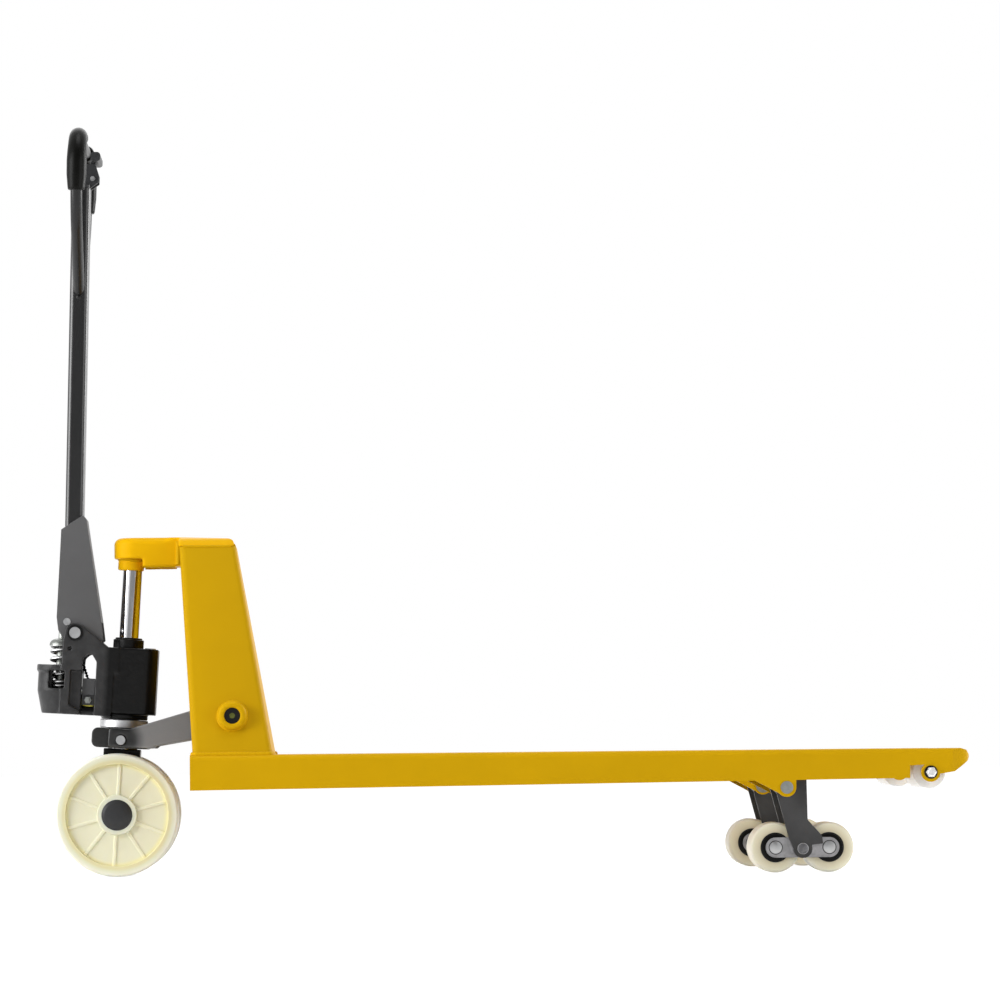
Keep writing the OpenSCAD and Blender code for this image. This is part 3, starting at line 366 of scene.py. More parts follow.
NODE_MATERIALS = {
    "handle_tube": TUBE, "load_frame_right": LEG, "load_frame_left": LEG,
    "torsion_shaft": DARK_STEEL, "circlips": DARK_STEEL, "release_valve": DULL_BRASS,
    "release_chain": DARK_STEEL, "release_screw": PIN_STEEL,
    "bogie_right": LINK_STEEL, "bogie_left": LINK_STEEL, "frame_pins": PIN_STEEL,
}
for side in SIDES:
    for end in ENDS:
        NODE_MATERIALS[f"{end}_roller_{side}"] = banded(
            f"polyurethane_{end}_{side}", joint_at(f"{end}_{side}_spin"), ROLLER_RADIUS, ROLLER_BANDS, 0.2
        )
BODY_OF = {
    node: body
    for body, members in frame["record"]["behaviour"]["bodies"].items()
    for node in members
}
SLOT_OF = {subpart["node"]: subpart["material_slot"] for subpart in frame["record"]["subparts"]}


def look(node):
    return NODE_MATERIALS.get(node) or SLOT_MATERIALS[SLOT_OF[node]]


def eased(obj, width, segments=2):
    """Rounds an object's sharp edges."""
    bevel = obj.modifiers.new("bevel", "BEVEL")
    bevel.width = width
    bevel.segments = segments
    bevel.limit_method = "ANGLE"
    bevel.angle_limit = math.radians(38)
    bevel.use_clamp_overlap = True
    obj.modifiers.new("normals", "WEIGHTED_NORMAL").keep_sharp = True
    return obj


def dress(node, width=0.0008):
    """Gives a CAD node its material and eased edges."""
    obj = nodes[node]
    obj.data.materials.clear()
    obj.data.materials.append(look(node))
    weld = obj.modifiers.new("weld", "WELD")
    weld.merge_threshold = 1e-6
    eased(obj, width)


for name in SLOT_OF:
    dress(name)


# Mesh building

def piece(name, bm, body, material, angle=40):
    """Makes an object of a mesh in the frame's coordinates and lets it ride on a body."""
    mesh = bpy.data.meshes.new(name)
    bmesh.ops.recalc_face_normals(bm, faces=bm.faces)
    bm.to_mesh(mesh)
    bm.free()
    mesh.shade_smooth()
    mesh.set_sharp_from_angle(angle=math.radians(angle))
    mesh.materials.append(material)
    obj = bpy.data.objects.new(name, mesh)
    scene.collection.objects.link(obj)
    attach(obj, body)
    return obj


def frame_at(direction):
    """Two unit vectors square to a direction and to each other."""
    direction = direction.normalized()
    helper = Vector((0, 1, 0)) if abs(direction.y) < 0.9 else Vector((0, 0, 1))
    side = direction.cross(helper).normalized()
    return side, direction.cross(side).normalized()


def sweep(bm, points, radius, sides=16, closed=False):
    """A tube along points. radius is a number, or gives two half sizes at a share of the way."""
    rings = []
    count = len(points)
    side = None
    for i, point in enumerate(points):
        before = points[i - 1] if i or closed else points[0]
        after = points[(i + 1) % count] if i < count - 1 or closed else points[-1]
        direction = (after - before).normalized()
        if side is None:
            side, _ = frame_at(direction)
        side = (side - direction * side.dot(direction)).normalized()
        other = direction.cross(side)
        size = radius(i / max(1, count - 1)) if callable(radius) else (radius, radius)
        rings.append([
            bm.verts.new(point + side * size[0] * math.cos(a) + other * size[1] * math.sin(a))
            for a in (2 * math.pi * k / sides for k in range(sides))
        ])
    pairs = list(zip(rings, rings[1:]))
    if closed:
        pairs.append((rings[-1], rings[0]))
    for a, b in pairs:
        for k in range(sides):
            n = (k + 1) % sides
            bm.faces.new((a[k], a[n], b[n], b[k]))
    if not closed:
        bm.faces.new(rings[0])
        bm.faces.new(rings[-1])


def lathe(bm, profile, centre, axis, segments=64):
    """Turns a closed profile of (radius, along) in millimetres about an axis through centre."""
    axis = Vector(axis).normalized()
    side, other = frame_at(axis)
    rings = []
    for k in range(segments):
        a = 2 * math.pi * k / segments
        out = side * math.cos(a) + other * math.sin(a)
        rings.append([bm.verts.new(centre + (out * r + axis * h) * MM) for r, h in profile])
    count = len(profile)
    for k in range(segments):
        a, b = rings[k], rings[(k + 1) % segments]
        for i in range(count):
            j = (i + 1) % count
            bm.faces.new((a[i], a[j], b[j], b[i]))


def weld_bead(name, points, body, size=3.2, ripple=2.6, closed=False):
    """A painted weld along a line: a low bead with the ripples that each step of the arc leaves."""
    length = sum((b - a).length for a, b in zip(points, points[1:]))
    count = max(8, int(length / (ripple * MM / 4)))
    line = resampled(points, count, closed)
    bm = bmesh.new()
    turn = 2 * math.pi * length / count / (ripple * MM)
    phase = [0.5 + 0.5 * math.cos(turn * i) for i in range(len(line))]
    wander = [math.sin(i * 0.37) * 0.4 + math.sin(i * 0.113 + 1.0) * 0.6 for i in range(len(line))]
    radius = [size * MM * (0.92 + 0.08 * p + 0.12 * w) for p, w in zip(phase, wander)]
    last = len(line) - 1

    def section(share):
        r = radius[round(share * last)]
        return (r, r)

    sweep(bm, line, section, 10, closed)
    return piece(name, bm, body, YELLOW, 80)


def resampled(points, count, closed=False):
    """The same line with evenly spaced points."""
    line = [*points, points[0]] if closed else list(points)
    spans = [(b - a).length for a, b in zip(line, line[1:])]
    total = sum(spans)
    steps = count if closed else count - 1
    result = []
    for i in range(count):
        along = total * i / steps
        k = 0
        while k < len(spans) - 1 and along > spans[k]:
            along -= spans[k]
            k += 1
        result.append(line[k].lerp(line[k + 1], min(1.0, along / spans[k])))
    return result


# Forks: each channel and its heel are one welded piece, so no seam shows between them

def copied(*names):
    """One mesh of several CAD nodes, without the faces where they meet."""
    bm = bmesh.new()
    for name in names:
        bm.from_mesh(nodes[name].data)
    bmesh.ops.remove_doubles(bm, verts=bm.verts, dist=1e-6)
    return bm


def dissolved(bm):
    bmesh.ops.dissolve_limit(bm, angle_limit=math.radians(0.5), verts=bm.verts, edges=bm.edges)


FORK_BEND = 4.0


def near(a, b):
    return abs(a - b) < 1e-5


def bend_edges(bm, radius):
    """Rounds the long upper edges where the channel's sheet is folded down."""
    top = max(v.co.z for v in bm.verts)
    low_y = min(v.co.y for v in bm.verts if near(v.co.z, top))
    high_y = max(v.co.y for v in bm.verts if near(v.co.z, top))
    edges = [
        e for e in bm.edges
        if all(near(v.co.z, top) for v in e.verts)
        and any(all(near(v.co.y, y) for v in e.verts) for y in (low_y, high_y))
    ]
    bmesh.ops.bevel(bm, geom=edges, offset=radius * MM, segments=4, profile=0.5, affect="EDGES")


def make_forks():
    for side in SIDES:
        joint_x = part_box(f"heel_{side}")[1].x
        bm = copied(f"fork_{side}", f"heel_{side}")
        seam = [f for f in bm.faces if all(near(v.co.x, joint_x) for v in f.verts)]
        bmesh.ops.delete(bm, geom=seam, context="FACES_ONLY")
        loose = [e for e in bm.edges if not e.link_faces]
        bmesh.ops.delete(bm, geom=loose, context="EDGES")
        dissolved(bm)
        bend_edges(bm, FORK_BEND)
        fork = piece(f"fork_channel_{side}", bm, "chassis", YELLOW)
        eased(fork, 0.0008)
        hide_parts(f"fork_{side}", f"heel_{side}")


# Plates and blocks with well rounded edges

def soft_piece(node, width, segments=4):
    """A copy of a CAD node with wide rounded edges, shown in its place."""
    bm = copied(node)
    dissolved(bm)
    obj = piece(f"{node}_soft", bm, BODY_OF[node], look(node))
    eased(obj, width * MM, segments)
    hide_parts(node)


def make_plates():
    soft_piece("back_plate", 1.5)
    soft_piece("handle_bracket", 1.4)
    soft_piece("gland_nut", 1.2)
    soft_piece("release_lever", 1.4)


# Frame side plates: pressed sheet with rolled front and rear edges

FRAME_Z = (196.0, 547.5)
CAD_ROOF_Z = 538.5
ROOF_Z = 534.5
ROOF_SHARE = (ROOF_Z - FRAME_Z[0]) / (FRAME_Z[1] - FRAME_Z[0])
FRAME_Y = (262.0, 86.0)
FRAME_FRONT = (-488.0, -513.5)
FRAME_BACK = (-361.8, -423.8)
FRAME_ROLL = (11.0, 8.0)
ROLL_STEPS = 8
FRAME_RETURN = 13.0
FRAME_SHEET = 6.0


def between(pair, share):
    return pair[0] + (pair[1] - pair[0]) * share


def rolled_section(front, back, depth):
    """The sheet's outline from its front return to its rear edge, as (x, inward) points."""
    points = [(front + depth, FRAME_RETURN)]
    front_roll, back_roll = FRAME_ROLL
    for centre, roll, start in (
        (front + front_roll, front_roll, math.pi), (back - back_roll, back_roll, 1.5 * math.pi)
    ):
        radius = roll - depth
        for k in range(ROLL_STEPS + 1):
            a = start + math.pi / 2 * k / ROLL_STEPS
            points.append((centre + radius * math.cos(a), roll + radius * math.sin(a)))
    return points


def make_frame_sides():
    for side in SIDES:
        sign = 1 if side == "left" else -1
        bm = bmesh.new()
        rings = []
        for share in (0.0, ROOF_SHARE):
            front, back = between(FRAME_FRONT, share), between(FRAME_BACK, share)
            outline = rolled_section(front, back, 0.0) + rolled_section(front, back, FRAME_SHEET)[::-1]
            y, z = between(FRAME_Y, share), between(FRAME_Z, share)
            rings.append([
                bm.verts.new(Vector((x, sign * (y - inward), z)) * MM) for x, inward in outline
            ])
        count = len(rings[0])
        for i in range(count):
            j = (i + 1) % count
            bm.faces.new((rings[0][i], rings[0][j], rings[1][j], rings[1][i]))
        for ring in rings:
            bm.faces.new(ring)
        # The plates use the darker copy of the yellow: painted shade.
        plate = piece(f"frame_plate_{side}", bm, "chassis", SHADED_FRAME_YELLOW, 35)
        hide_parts(f"frame_side_{side}")


# Handle loop and grips, as [y, z] from the handle's pivot

TUBE_X = -6.5
LOOP_HALF = 160.0
LOOP_BAR_Z = 804.5
LOOP_BEND = 45.0
LOOP_R = 9.5
LOOP_FOOT = (19.0, 562.0)
LOOP_KNEE = (160.0, 690.0)
KNEE_BEND = 60.0
GRIP_Z0 = 712.0
GRIP_BAR_Y = 92.0
GRIP_SIZES = [
    (0.0, 12.8), (0.02, 13.8), (0.18, 16.0), (0.34, 16.2),
    (0.55, 14.9), (0.7, 14.5), (0.97, 14.5), (1.0, 13.2),
]
RIVET_AT = (25.0, 552.0)
RIVET = [(0.01, 0.0), (4.0, 0.0), (3.4, 1.0), (1.8, 1.6), (0.01, 1.7)]


def corner(y, z, steps=10):
    """Points round the loop's upper corner."""
    return [
        (y - LOOP_BEND + LOOP_BEND * math.cos(a), z - LOOP_BEND + LOOP_BEND * math.sin(a))
        for a in (math.pi / 2 * k / steps for k in range(steps + 1))
    ]


def fillet(before, at, after, size, steps=10):
    """Points on a curve that cuts a corner."""
    middle = Vector(at)
    a = middle + (Vector(before) - middle).normalized() * size
    b = middle + (Vector(after) - middle).normalized() * size
    return [
        tuple((1 - t) ** 2 * a + 2 * t * (1 - t) * middle + t * t * b)
        for t in (k / steps for k in range(steps + 1))
    ]


def share_of(sizes, t):
    """Reads a size from a list of (share, size) steps."""
    for (t0, r0), (t1, r1) in zip(sizes, sizes[1:]):
        if t <= t1:
            return r0 + (r1 - r0) * (t - t0) / (t1 - t0)
    return sizes[-1][1]


def make_handle():
    top = corner(LOOP_HALF, LOOP_BAR_Z)
    knee = fillet(LOOP_FOOT, LOOP_KNEE, top[0], KNEE_BEND)
    half = [LOOP_FOOT, *knee, *top]
    whole = half + [(-y, z) for y, z in reversed(half)]
    bm = bmesh.new()
    sweep(bm, [on_handle(TUBE_X, y, z) for y, z in whole], LOOP_R * MM, 24)
    loop = piece("loop_bar", bm, "handle", LOOP, 60)
    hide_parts("handle_loop")
    bm = bmesh.new()
    line = [(LOOP_HALF, GRIP_Z0), *top, (GRIP_BAR_Y, LOOP_BAR_Z)]
    for sign in (1, -1):
        points = resampled([on_handle(TUBE_X, sign * y, z) for y, z in line], 60)

        def section(share):
            r = share_of(GRIP_SIZES, share) * MM
            return (r, r)

        sweep(bm, points, section, 32)
    grips = piece("grip_sleeves", bm, "handle", RUBBER, 50)
    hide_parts("grips")
    bm = bmesh.new()
    for sign in (1, -1):
        lathe(bm, RIVET, on_handle(TUBE_X, sign * RIVET_AT[0], RIVET_AT[1]), (0, sign, 0), 24)
    piece("tube_rivets", bm, "handle", LOOP, 60)


# Castings: the solid's shape with the rounded corners and soft edges of a sand mould

def cast_piece(name, node, voxel, rounds, material, reshape=None):
    bm = copied(node)
    if reshape:
        reshape(bm)
    obj = piece(name, bm, BODY_OF[node], material, 180)
    remesh = obj.modifiers.new("remesh", "REMESH")
    remesh.mode = "VOXEL"
    remesh.voxel_size = voxel * MM
    remesh.use_smooth_shade = True
    smooth = obj.modifiers.new("smooth", "SMOOTH")
    smooth.factor = 0.5
    smooth.iterations = rounds
    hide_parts(node)
    return obj


ROOF_DROP = 4.0
NOSE_HALF = 34.0
NOSE_AXIS = -587.5
NOSE_TOP = 552.5
NOSE_ROUND = 12.0
NOSE_FADE = 25.0
POCKET_U = (-72.0, -48.0)
POCKET_W = (174.0, 175.0)
POCKET_DROP = 9.5
POCKET_FRONT = -25.0


def settle_head(bm):
    """Brings the pressed roof down to the level of the nose."""
    front = FRAME_FRONT[1] * MM
    for vert in bm.verts:
        joins_nose = vert.co.x < front + MM and abs(vert.co.y) < (NOSE_HALF + 1) * MM
        if vert.co.x > front - MM and vert.co.z > (CAD_ROOF_Z - 1) * MM and not joins_nose:
            vert.co.z -= ROOF_DROP * MM


def round_nose(obj):
    """Rounds the nose's upper edge on the finished casting, less towards the frame."""
    bm = bmesh.new()
    bm.from_object(obj, bpy.context.evaluated_depsgraph_get())
    for vert in bm.verts:
        x, y, z = vert.co / MM
        radius = NOSE_ROUND * min(1.0, (FRAME_FRONT[1] - x) / NOSE_FADE)
        spine = Vector((max(x, NOSE_AXIS), 0))
        out = Vector((x, y)) - spine
        inset = NOSE_HALF - out.length
        depth = NOSE_TOP - z
        if radius <= 0 or inset > radius or depth > radius:
            continue
        bend = Vector((radius - inset, radius - depth))
        if bend.length > radius:
            bend *= radius / bend.length
            across = spine + out.normalized() * (NOSE_HALF - radius + bend.x)
            vert.co = Vector((across.x, across.y, NOSE_TOP - radius + bend.y)) * MM
    obj.modifiers.clear()
    bm.to_mesh(obj.data)
    bm.free()


def lower_pocket(bm):
    """Opens the floor under the release lever towards the front."""
    for vert in bm.verts:
        u, w = column_place(vert.co)
        on_floor = POCKET_U[0] < u < POCKET_U[1] and POCKET_W[0] < w < POCKET_W[1]
        if on_floor and vert.co.y < POCKET_FRONT * MM:
            vert.co -= COLUMN_UP * POCKET_DROP * MM


def make_castings():
    cast_piece("pump_casting", "pump_housing", 1.3, 5, PUMP, lower_pocket)
    # The nose casting takes the lighter copy of the yellow: painted light.
    head = cast_piece("head_block", "ram_head", 1.5, 16, LIT_NOSE_YELLOW, settle_head)
    round_nose(head)
    cast_piece("rocker_casting", "rocker_arm", 1.6, 5, ARM)
    cast_piece("ring_casting", "link_ring", 1.3, 5, RING_PAINT)
    cast_piece("carrier_casting", "axle_carrier", 1.5, 4, BLACK)


# Pump spring, and the plunger with the cup that holds the spring's top

SPRING_AT = -108.7
SPRING_SEAT = 196.0
SPRING_CAP = 275.0
SPRING_RADIUS = 15.7
SPRING_WIRE = 6.2
SPRING_TURNS = 7
SPRING_CLOSED = 6.6
SPRING_FOOT = 2
SPRING_PHASE = 0.8
SPRING_GAP = 0.2
SPRING_STEPS = 40
PLUNGER_R = 8.0
PLUNGER_FOOT = 193.5
PLUNGER_HEAD_R = 6.5
PRESS_R = 12.0
PRESS_GAP = 0.5
SPRING_CUP = [
    (18.9, SPRING_CAP), (18.9, 270.5), (20.2, 270.5), (20.4, 272.3), (19.7, 275.2), (17.6, 278.4),
    (14.2, 280.9), (10.0, 282.3), (PLUNGER_HEAD_R, 282.7),
]


def spring_line():
    low = SPRING_SEAT + SPRING_WIRE / 2 + SPRING_GAP
    high = SPRING_CAP - SPRING_WIRE / 2 - SPRING_GAP
    open_turns = SPRING_TURNS - SPRING_FOOT - 1
    pitch = (high - low - (SPRING_FOOT + 1) * SPRING_CLOSED) / open_turns
    points = []
    for i in range(SPRING_TURNS * SPRING_STEPS + 1):
        t = i / SPRING_STEPS
        rise = SPRING_CLOSED * min(t, SPRING_FOOT) + pitch * min(max(t - SPRING_FOOT, 0), open_turns)
        rise += SPRING_CLOSED * max(t - SPRING_TURNS + 1, 0)
        a = 2 * math.pi * (t + SPRING_PHASE)
        points.append(on_column(
            SPRING_AT + SPRING_RADIUS * math.cos(a), SPRING_RADIUS * math.sin(a), low + rise
        ))
    return points


def make_spring():
    bm = bmesh.new()
    sweep(bm, spring_line(), SPRING_WIRE / 2 * MM, 14)
    spring = piece("coil_spring", bm, "steering", SPRING)
    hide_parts("pump_spring")
    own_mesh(spring)


def make_plunger():
    top = column_place(joint_at("press_roller_spin"))[1] - PRESS_R - PRESS_GAP
    bm = bmesh.new()
    lathe(bm, [
        (0.01, PLUNGER_FOOT), (PLUNGER_R, PLUNGER_FOOT), (PLUNGER_R, SPRING_CAP),
        *SPRING_CUP, (PLUNGER_HEAD_R, top), (0.01, top),
    ], on_column(SPRING_AT, 0, 0), COLUMN_UP)
    plunger = piece("plunger_cup", bm, BODY_OF["pump_plunger"], PIN_STEEL)
    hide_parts("pump_plunger")


# Ram, turned so that it is round, and the cup that its top stands in

RAM_R = 16.0
RAM_W = (190.0, 399.7)
CUP_SHIFT = -3.0
CUP = [(0.01, 400.0), (19.6, 400.0), (20.6, 400.6), (21.2, 402.0), (21.2, 417.0), (0.01, 417.0)]


def make_ram():
    bm = bmesh.new()
    low, high = RAM_W
    lathe(bm, [(0.01, low), (RAM_R, low), (RAM_R, high), (0.01, high)], AXLE, COLUMN_UP, 128)
    ram = piece("chrome_ram", bm, BODY_OF["ram"], CHROME)
    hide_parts("ram")
    bm = bmesh.new()
    lathe(bm, CUP, on_column(CUP_SHIFT, 0, 0), COLUMN_UP)
    # The cup takes the lighter copy of the yellow: painted light.
    piece("ram_cup", bm, "chassis", LIT_NOSE_YELLOW)


# Release valve's collar, and the thrust bearing under the pump

VALVE_AT = (-60.0, 184.0)
VALVE_COLLAR = [(8.2, 12.1), (13.2, 12.1), (13.2, 12.9), (12.6, 13.3), (8.2, 13.3)]
BEARING_W = (141.0, 155.2)
BEARING_R = (26.0, 39.0)
BEARING_LIP = 1.4


def make_pump_rings():
    bm = bmesh.new()
    lathe(bm, VALVE_COLLAR, on_column(VALVE_AT[0], 0, VALVE_AT[1]), (0, -1, 0))
    piece("valve_collar", bm, "steering", BRASS)
    (low, high), (inner, outer) = BEARING_W, BEARING_R
    bm = bmesh.new()
    lathe(bm, [
        (inner, low), (outer - BEARING_LIP, low), (outer, low + BEARING_LIP),
        (outer, high - BEARING_LIP), (outer - BEARING_LIP, high), (inner, high),
    ], AXLE, COLUMN_UP, 128)
    bearing = piece("bearing_ring", bm, BODY_OF["thrust_bearing"], RING_STEEL)
    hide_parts("thrust_bearing")


# Load rollers' bearings

ROLLER_HALF = 35.0
SEAL = [(10.4, -0.4), (10.4, 0.3), (12.0, 0.6), (19.6, 0.6), (21.0, 0.2), (21.0, -0.4)]
RACE = [(21.0, -0.4), (21.0, 0.7), (21.6, 0.9), (23.2, 0.9), (23.8, 0.4), (23.8, -0.4)]


def make_bearings():
    for side in SIDES:
        for end in ENDS:
            centre = joint_at(f"{end}_{side}_spin")
            for name, profile, material in (("seals", SEAL, RUBBER), ("races", RACE, DARK_STEEL)):
                bm = bmesh.new()
                for face in (-1, 1):
                    lathe(bm, profile, centre + Vector((0, face * ROLLER_HALF * MM, 0)), (0, face, 0))
                piece(f"{end}_{name}_{side}", bm, f"{end}_{side}", material)


LINK_FACE = 40.5
GROOVE = [(9.9, 0.0), (9.9, 0.25), (11.2, 0.25), (11.2, 0.0)]
END_FACE = [(0.01, 0.4), (0.01, 0.8), (8.6, 0.8), (9.4, 0.55), (9.4, 0.4)]
STUB_END = [(0.01, -0.1), (0.01, 0.3), (7.6, 0.3), (8.3, -0.1)]


def make_axle_ends():
    """The turned ends of the roller axles, in the rings that seat them, and those of the stub pins."""
    for side in SIDES:
        for name, profile, material in (("grooves", GROOVE, DARK_STEEL), ("ends", END_FACE, ZINC)):
            bm = bmesh.new()
            for end in ENDS:
                centre = joint_at(f"{end}_{side}_spin")
                for face in (-1, 1):
                    lathe(bm, profile, centre + Vector((0, face * LINK_FACE * MM, 0)), (0, face, 0))
            piece(f"axle_{name}_{side}", bm, f"bogie_{side}", material)
        bm = bmesh.new()
        centre = joint_at(f"bogie_{side}")
        for way, corner_at in zip((-1, 1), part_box(f"bogie_{side}")):
            lathe(bm, STUB_END, Vector((centre.x, corner_at.y, centre.z)), (0, way, 0))
        piece(f"stub_ends_{side}", bm, f"bogie_{side}", STUB_STEEL)


# Entry rollers' bolts

FORK_OUTER = 270.0
FORK_INNER = 110.0
ENTRY_BOLT_R = 6
WASHER_T = 2
BOLT = [
    (0.01, 99.0), (ENTRY_BOLT_R, 99.0), (ENTRY_BOLT_R, 280.2),
    (ENTRY_BOLT_R - 0.8, 281.0), (0.01, 281.0),
]
NUT = [(ENTRY_BOLT_R, 0.0), (8.6, 0.0), (8.6, 6.2), (7.8, 7.0), (ENTRY_BOLT_R, 7.0)]
WASHER = [(ENTRY_BOLT_R, 0.0), (10.6, 0.0), (10.6, 1.5), (10.0, 2.0), (ENTRY_BOLT_R, 2.0)]


def make_entry_bolts():
    bolts = bmesh.new()
    washers = bmesh.new()
    for side in SIDES:
        sign = 1 if side == "left" else -1
        middle = joint_at(f"entry_{side}_spin")
        centre = Vector((middle.x, 0, middle.z))
        out = Vector((0, sign, 0))
        lathe(bolts, BOLT, centre, out, 32)
        for face, way in ((FORK_OUTER, 1), (FORK_INNER, -1)):
            lathe(washers, WASHER, centre + out * face * MM, out * way, 40)
            lathe(bolts, NUT, centre + out * (face + way * WASHER_T) * MM, out * way, 6)
    nuts = piece("entry_nuts", bolts, "chassis", BRIGHT, 30)
    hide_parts("entry_bolts")
    # The washers are real parts; their dark steel draws the dark ring round each nut: painted shade.
    piece("entry_washers", washers, "chassis", DARK_STEEL)


# Welds

BASE_Z = 197
BASE_RETURN = 0.012
BASE_FRONT_INSET = 0.006
BASE_BACK_INSET = 0.004
BOSS_WELD_R = 22.6
ROOF_WELD_X = (-506, -428)
THROAT_WELD_X = -515
THROAT_WELD_Z = (508, 546)
UNDER_WELD_X = (-572, -520)
UNDER_WELD_Y = 31
UNDER_WELD_Z = 505
CUP_WELD_W = 417.5
CUP_WELD_R = 19.5
CIRCLE_STEPS = 48


def plate_outside(x, z, side):
    """A point on the outer face of a frame side plate, given in millimetres."""
    y = between(FRAME_Y, (z - FRAME_Z[0]) / (FRAME_Z[1] - FRAME_Z[0]))
    return Vector((x, y if side == "left" else -y, z)) * MM


def circle(radius):
    """Points of a circle, in the units of its radius."""
    return [
        (radius * math.cos(a), radius * math.sin(a))
        for a in (2 * math.pi * k / CIRCLE_STEPS for k in range(CIRCLE_STEPS))
    ]


def make_welds():
    for side in SIDES:
        sign = 1 if side == "left" else -1
        inward = Vector((0, -sign * BASE_RETURN, 0))
        front = plate_outside(FRAME_FRONT[0], BASE_Z, side)
        back = plate_outside(FRAME_BACK[0], BASE_Z, side)
        weld_bead(f"base_weld_{side}", [
            front + inward, front + Vector((BASE_FRONT_INSET, 0, 0)),
            back - Vector((BASE_BACK_INSET, 0, 0)), back + inward,
        ], "chassis", 4.0, 5.0)
        boss = [plate_outside(SHAFT.x / MM + x, SHAFT.z / MM + z, side) for x, z in circle(BOSS_WELD_R)]
        weld_bead(f"boss_weld_{side}", boss, "chassis", 3.0, 6.0, True)
        top = [plate_outside(x, ROOF_Z, side) for x in ROOF_WELD_X]
        weld_bead(f"cap_weld_{side}", top, "chassis", 2.0)
        throat = [Vector((THROAT_WELD_X, sign * NOSE_HALF, z)) * MM for z in THROAT_WELD_Z]
        weld_bead(f"throat_weld_{side}", throat, "chassis", 5.0, 6.0)
        under = [Vector((x, sign * UNDER_WELD_Y, UNDER_WELD_Z)) * MM for x in UNDER_WELD_X]
        weld_bead(f"under_weld_{side}", under, "chassis", 2.4, 7.0)
    cup = [on_column(CUP_SHIFT + u, y, CUP_WELD_W) for u, y in circle(CUP_WELD_R)]
    weld_bead("cup_weld", cup, "chassis", 3.6, 7.0, True)


# Boss lips and the turned centres of the shaft's ends

BOSS_FACE = 246.0
BOSS_LIP = [
    (12.8, -1.0), (12.8, 3.0), (13.6, 4.4), (15.2, 5.0),
    (18.0, 5.0), (20.6, 4.0), (22.2, 2.0), (22.8, -1.0),
]
SHAFT_FACE = 248.0
SHAFT_CENTRE = [(0.01, -0.2), (0.01, 0.5), (4.2, 0.5), (4.8, -0.2)]


def make_shaft_ends():
    for name, profile, face, body, material, slot in (
        ("boss_lips", BOSS_LIP, BOSS_FACE, "chassis", YELLOW, "yellow_paint"),
        ("shaft_centres", SHAFT_CENTRE, SHAFT_FACE, "rocker", DULL_BRASS, "zinc"),
    ):
        bm = bmesh.new()
        for sign in (-1, 1):
            lathe(bm, profile, SHAFT + Vector((0, sign * face * MM, 0)), (0, sign, 0))
        piece(name, bm, body, material)


make_forks()
make_plates()
make_frame_sides()
make_handle()
make_castings()
make_spring()
make_plunger()
make_ram()
make_pump_rings()
make_bearings()
make_axle_ends()
make_entry_bolts()
make_welds()
make_shaft_ends()


# Camera, light and stage

CAMERA_AT = Vector((-0.2855, -7.27, 0.202))
CAMERA_YAW = 2.356
CAMERA_PITCH = 3.221
CAMERA_ROLL = 0.55
CAMERA_LENS = 158.95


def make_camera():
    data = bpy.data.cameras.new("camera")
    data.lens = CAMERA_LENS
    data.sensor_width = 36.0
    camera = bpy.data.objects.new("camera", data)
    camera.location = CAMERA_AT
    turn = Matrix.Rotation(math.radians(-CAMERA_YAW), 4, "Z")
    tilt = Matrix.Rotation(math.radians(90 + CAMERA_PITCH), 4, "X")
    roll = Matrix.Rotation(math.radians(-CAMERA_ROLL), 4, "Z")
    camera.rotation_euler = (turn @ tilt @ roll).to_euler()
    scene.collection.objects.link(camera)
    scene.camera = camera


def area_light(name, place, target, size, power):
    data = bpy.data.lights.new(name, "AREA")
    data.shape = "DISK"
    data.size = size
    data.energy = power
    light = bpy.data.objects.new(name, data)
    light.location = place
    light.rotation_euler = (Vector(target) - Vector(place)).to_track_quat("-Z", "Y").to_euler()
    scene.collection.objects.link(light)


def seen_directly(mat):
    """1 for rays that show a surface as it is, from the camera, a reflection or through glass."""
    path = add_node(mat, "ShaderNodeLightPath")
    value = path.outputs["Is Camera Ray"]
    for name in ("Is Glossy Ray", "Is Transmission Ray"):
        most = mat.node_tree.nodes.new("ShaderNodeMath")
        most.operation = "MAXIMUM"
        link(mat, value, most.inputs[0])
        link(mat, path.outputs[name], most.inputs[1])
        value = most.outputs["Value"]
    return value


ROOM_LIGHT = 0.38
DIM_LIGHT = 0.3
DIM_EDGES = (("Y", 0.05, -0.35), ("X", -0.5, -0.3))
FLOOR_LIFT = 0.78
LIGHTS = (
    ("key", (-4.2, -2.6, 1.9), (-0.2, 0, 0.3), 2.4, 86),
    ("left", (-3.4, -0.9, 1.0), (-0.6, 0, 0.4), 2.0, 48),
    ("fill", (3.4, -2.8, 1.4), (0.2, 0, 0.2), 3.0, 50),
    ("rim", (3.0, 1.8, 1.6), (-0.5, 0, 0.5), 2.0, 90),
    ("back", (-0.6, 3.4, 3.0), (0, 0, 0.4), 3.0, 32),
    ("top", (-0.2, -0.5, 3.6), (-0.1, 0, 0.2), 1.6, 28),
)


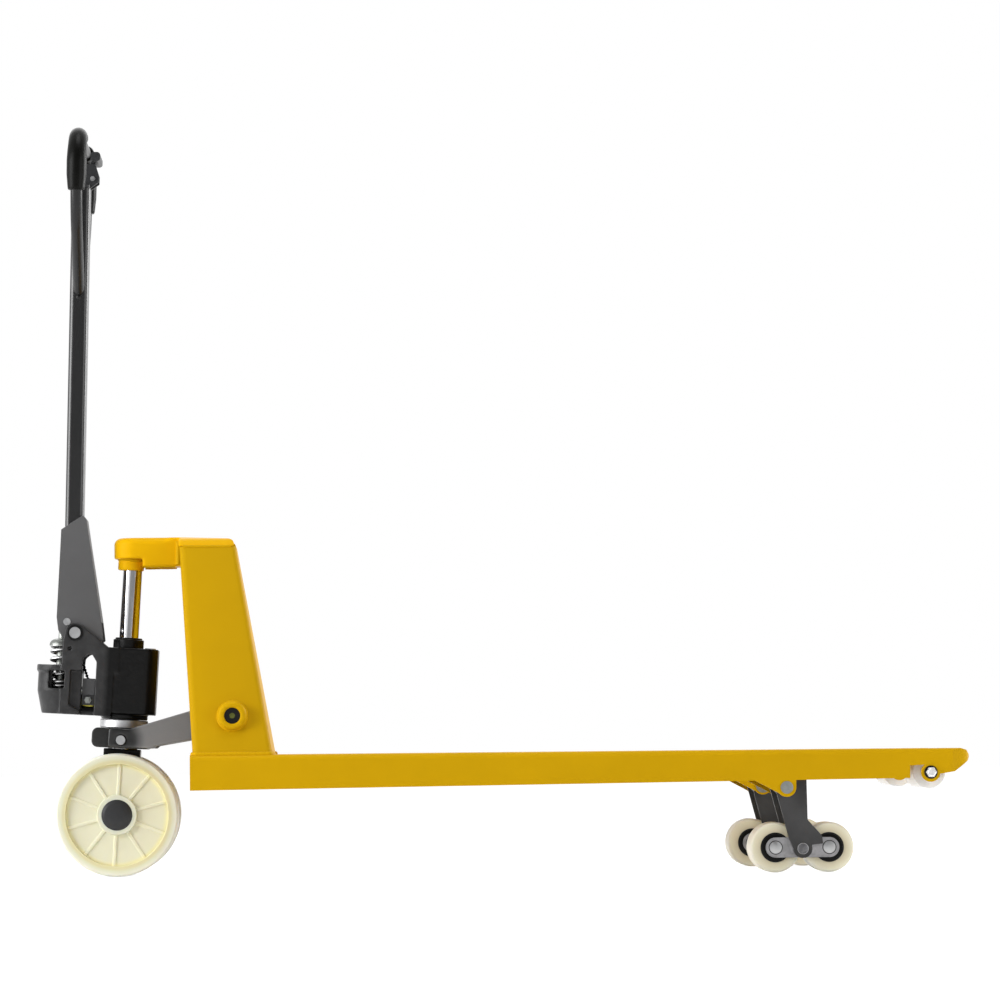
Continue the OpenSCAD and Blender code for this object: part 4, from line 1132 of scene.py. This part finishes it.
def dim_side(world):
    """1 for mirrored rays that go to the room's dim side, behind the camera, and 0 for the others."""
    place = add_node(world, "ShaderNodeTexCoord")
    parts = add_node(world, "ShaderNodeSeparateXYZ")
    link(world, place.outputs["Generated"], parts.inputs["Vector"])
    value = add_node(world, "ShaderNodeLightPath").outputs["Is Glossy Ray"]
    for axis, start, end in DIM_EDGES:
        share = add_node(world, "ShaderNodeMapRange")
        share.inputs["From Min"].default_value = start
        share.inputs["From Max"].default_value = end
        link(world, parts.outputs[axis], share.inputs["Value"])
        both = world.node_tree.nodes.new("ShaderNodeMath")
        both.operation = "MULTIPLY"
        link(world, value, both.inputs[0])
        link(world, share.outputs["Result"], both.inputs[1])
        value = both.outputs["Value"]
    return value


def make_world():
    world = bpy.data.worlds.new("studio")
    scene.world = world
    world.use_nodes = True
    background = world.node_tree.nodes["Background"]
    background.inputs["Color"].default_value = (1, 1, 1, 1)
    strength = add_node(world, "ShaderNodeMapRange")
    strength.inputs["To Min"].default_value = ROOM_LIGHT
    strength.inputs["To Max"].default_value = 1.0
    link(world, seen_directly(world), strength.inputs["Value"])
    less = add_node(world, "ShaderNodeMapRange")
    less.inputs["To Min"].default_value = 1.0
    less.inputs["To Max"].default_value = DIM_LIGHT
    link(world, dim_side(world), less.inputs["Value"])
    both = world.node_tree.nodes.new("ShaderNodeMath")
    both.operation = "MULTIPLY"
    link(world, strength.outputs["Result"], both.inputs[0])
    link(world, less.outputs["Result"], both.inputs[1])
    link(world, both.outputs["Value"], background.inputs["Strength"])


def make_floor():
    bpy.ops.mesh.primitive_plane_add(size=60)
    floor = bpy.context.object
    floor.name = "floor"
    mat, shader = new_material("floor", (0.82, 0.82, 0.82), 0.9)
    shader.inputs["Specular IOR Level"].default_value = 0.0
    shader.inputs["Emission Color"].default_value = (1, 1, 1, 1)
    lift = add_node(mat, "ShaderNodeMath")
    lift.operation = "MULTIPLY"
    lift.inputs[1].default_value = FLOOR_LIFT
    link(mat, seen_directly(mat), lift.inputs[0])
    link(mat, lift.outputs["Value"], shader.inputs["Emission Strength"])
    floor.data.materials.append(mat)


make_camera()
make_world()
make_floor()
for light in LIGHTS:
    area_light(*light)
scene.view_settings.view_transform = "Standard"
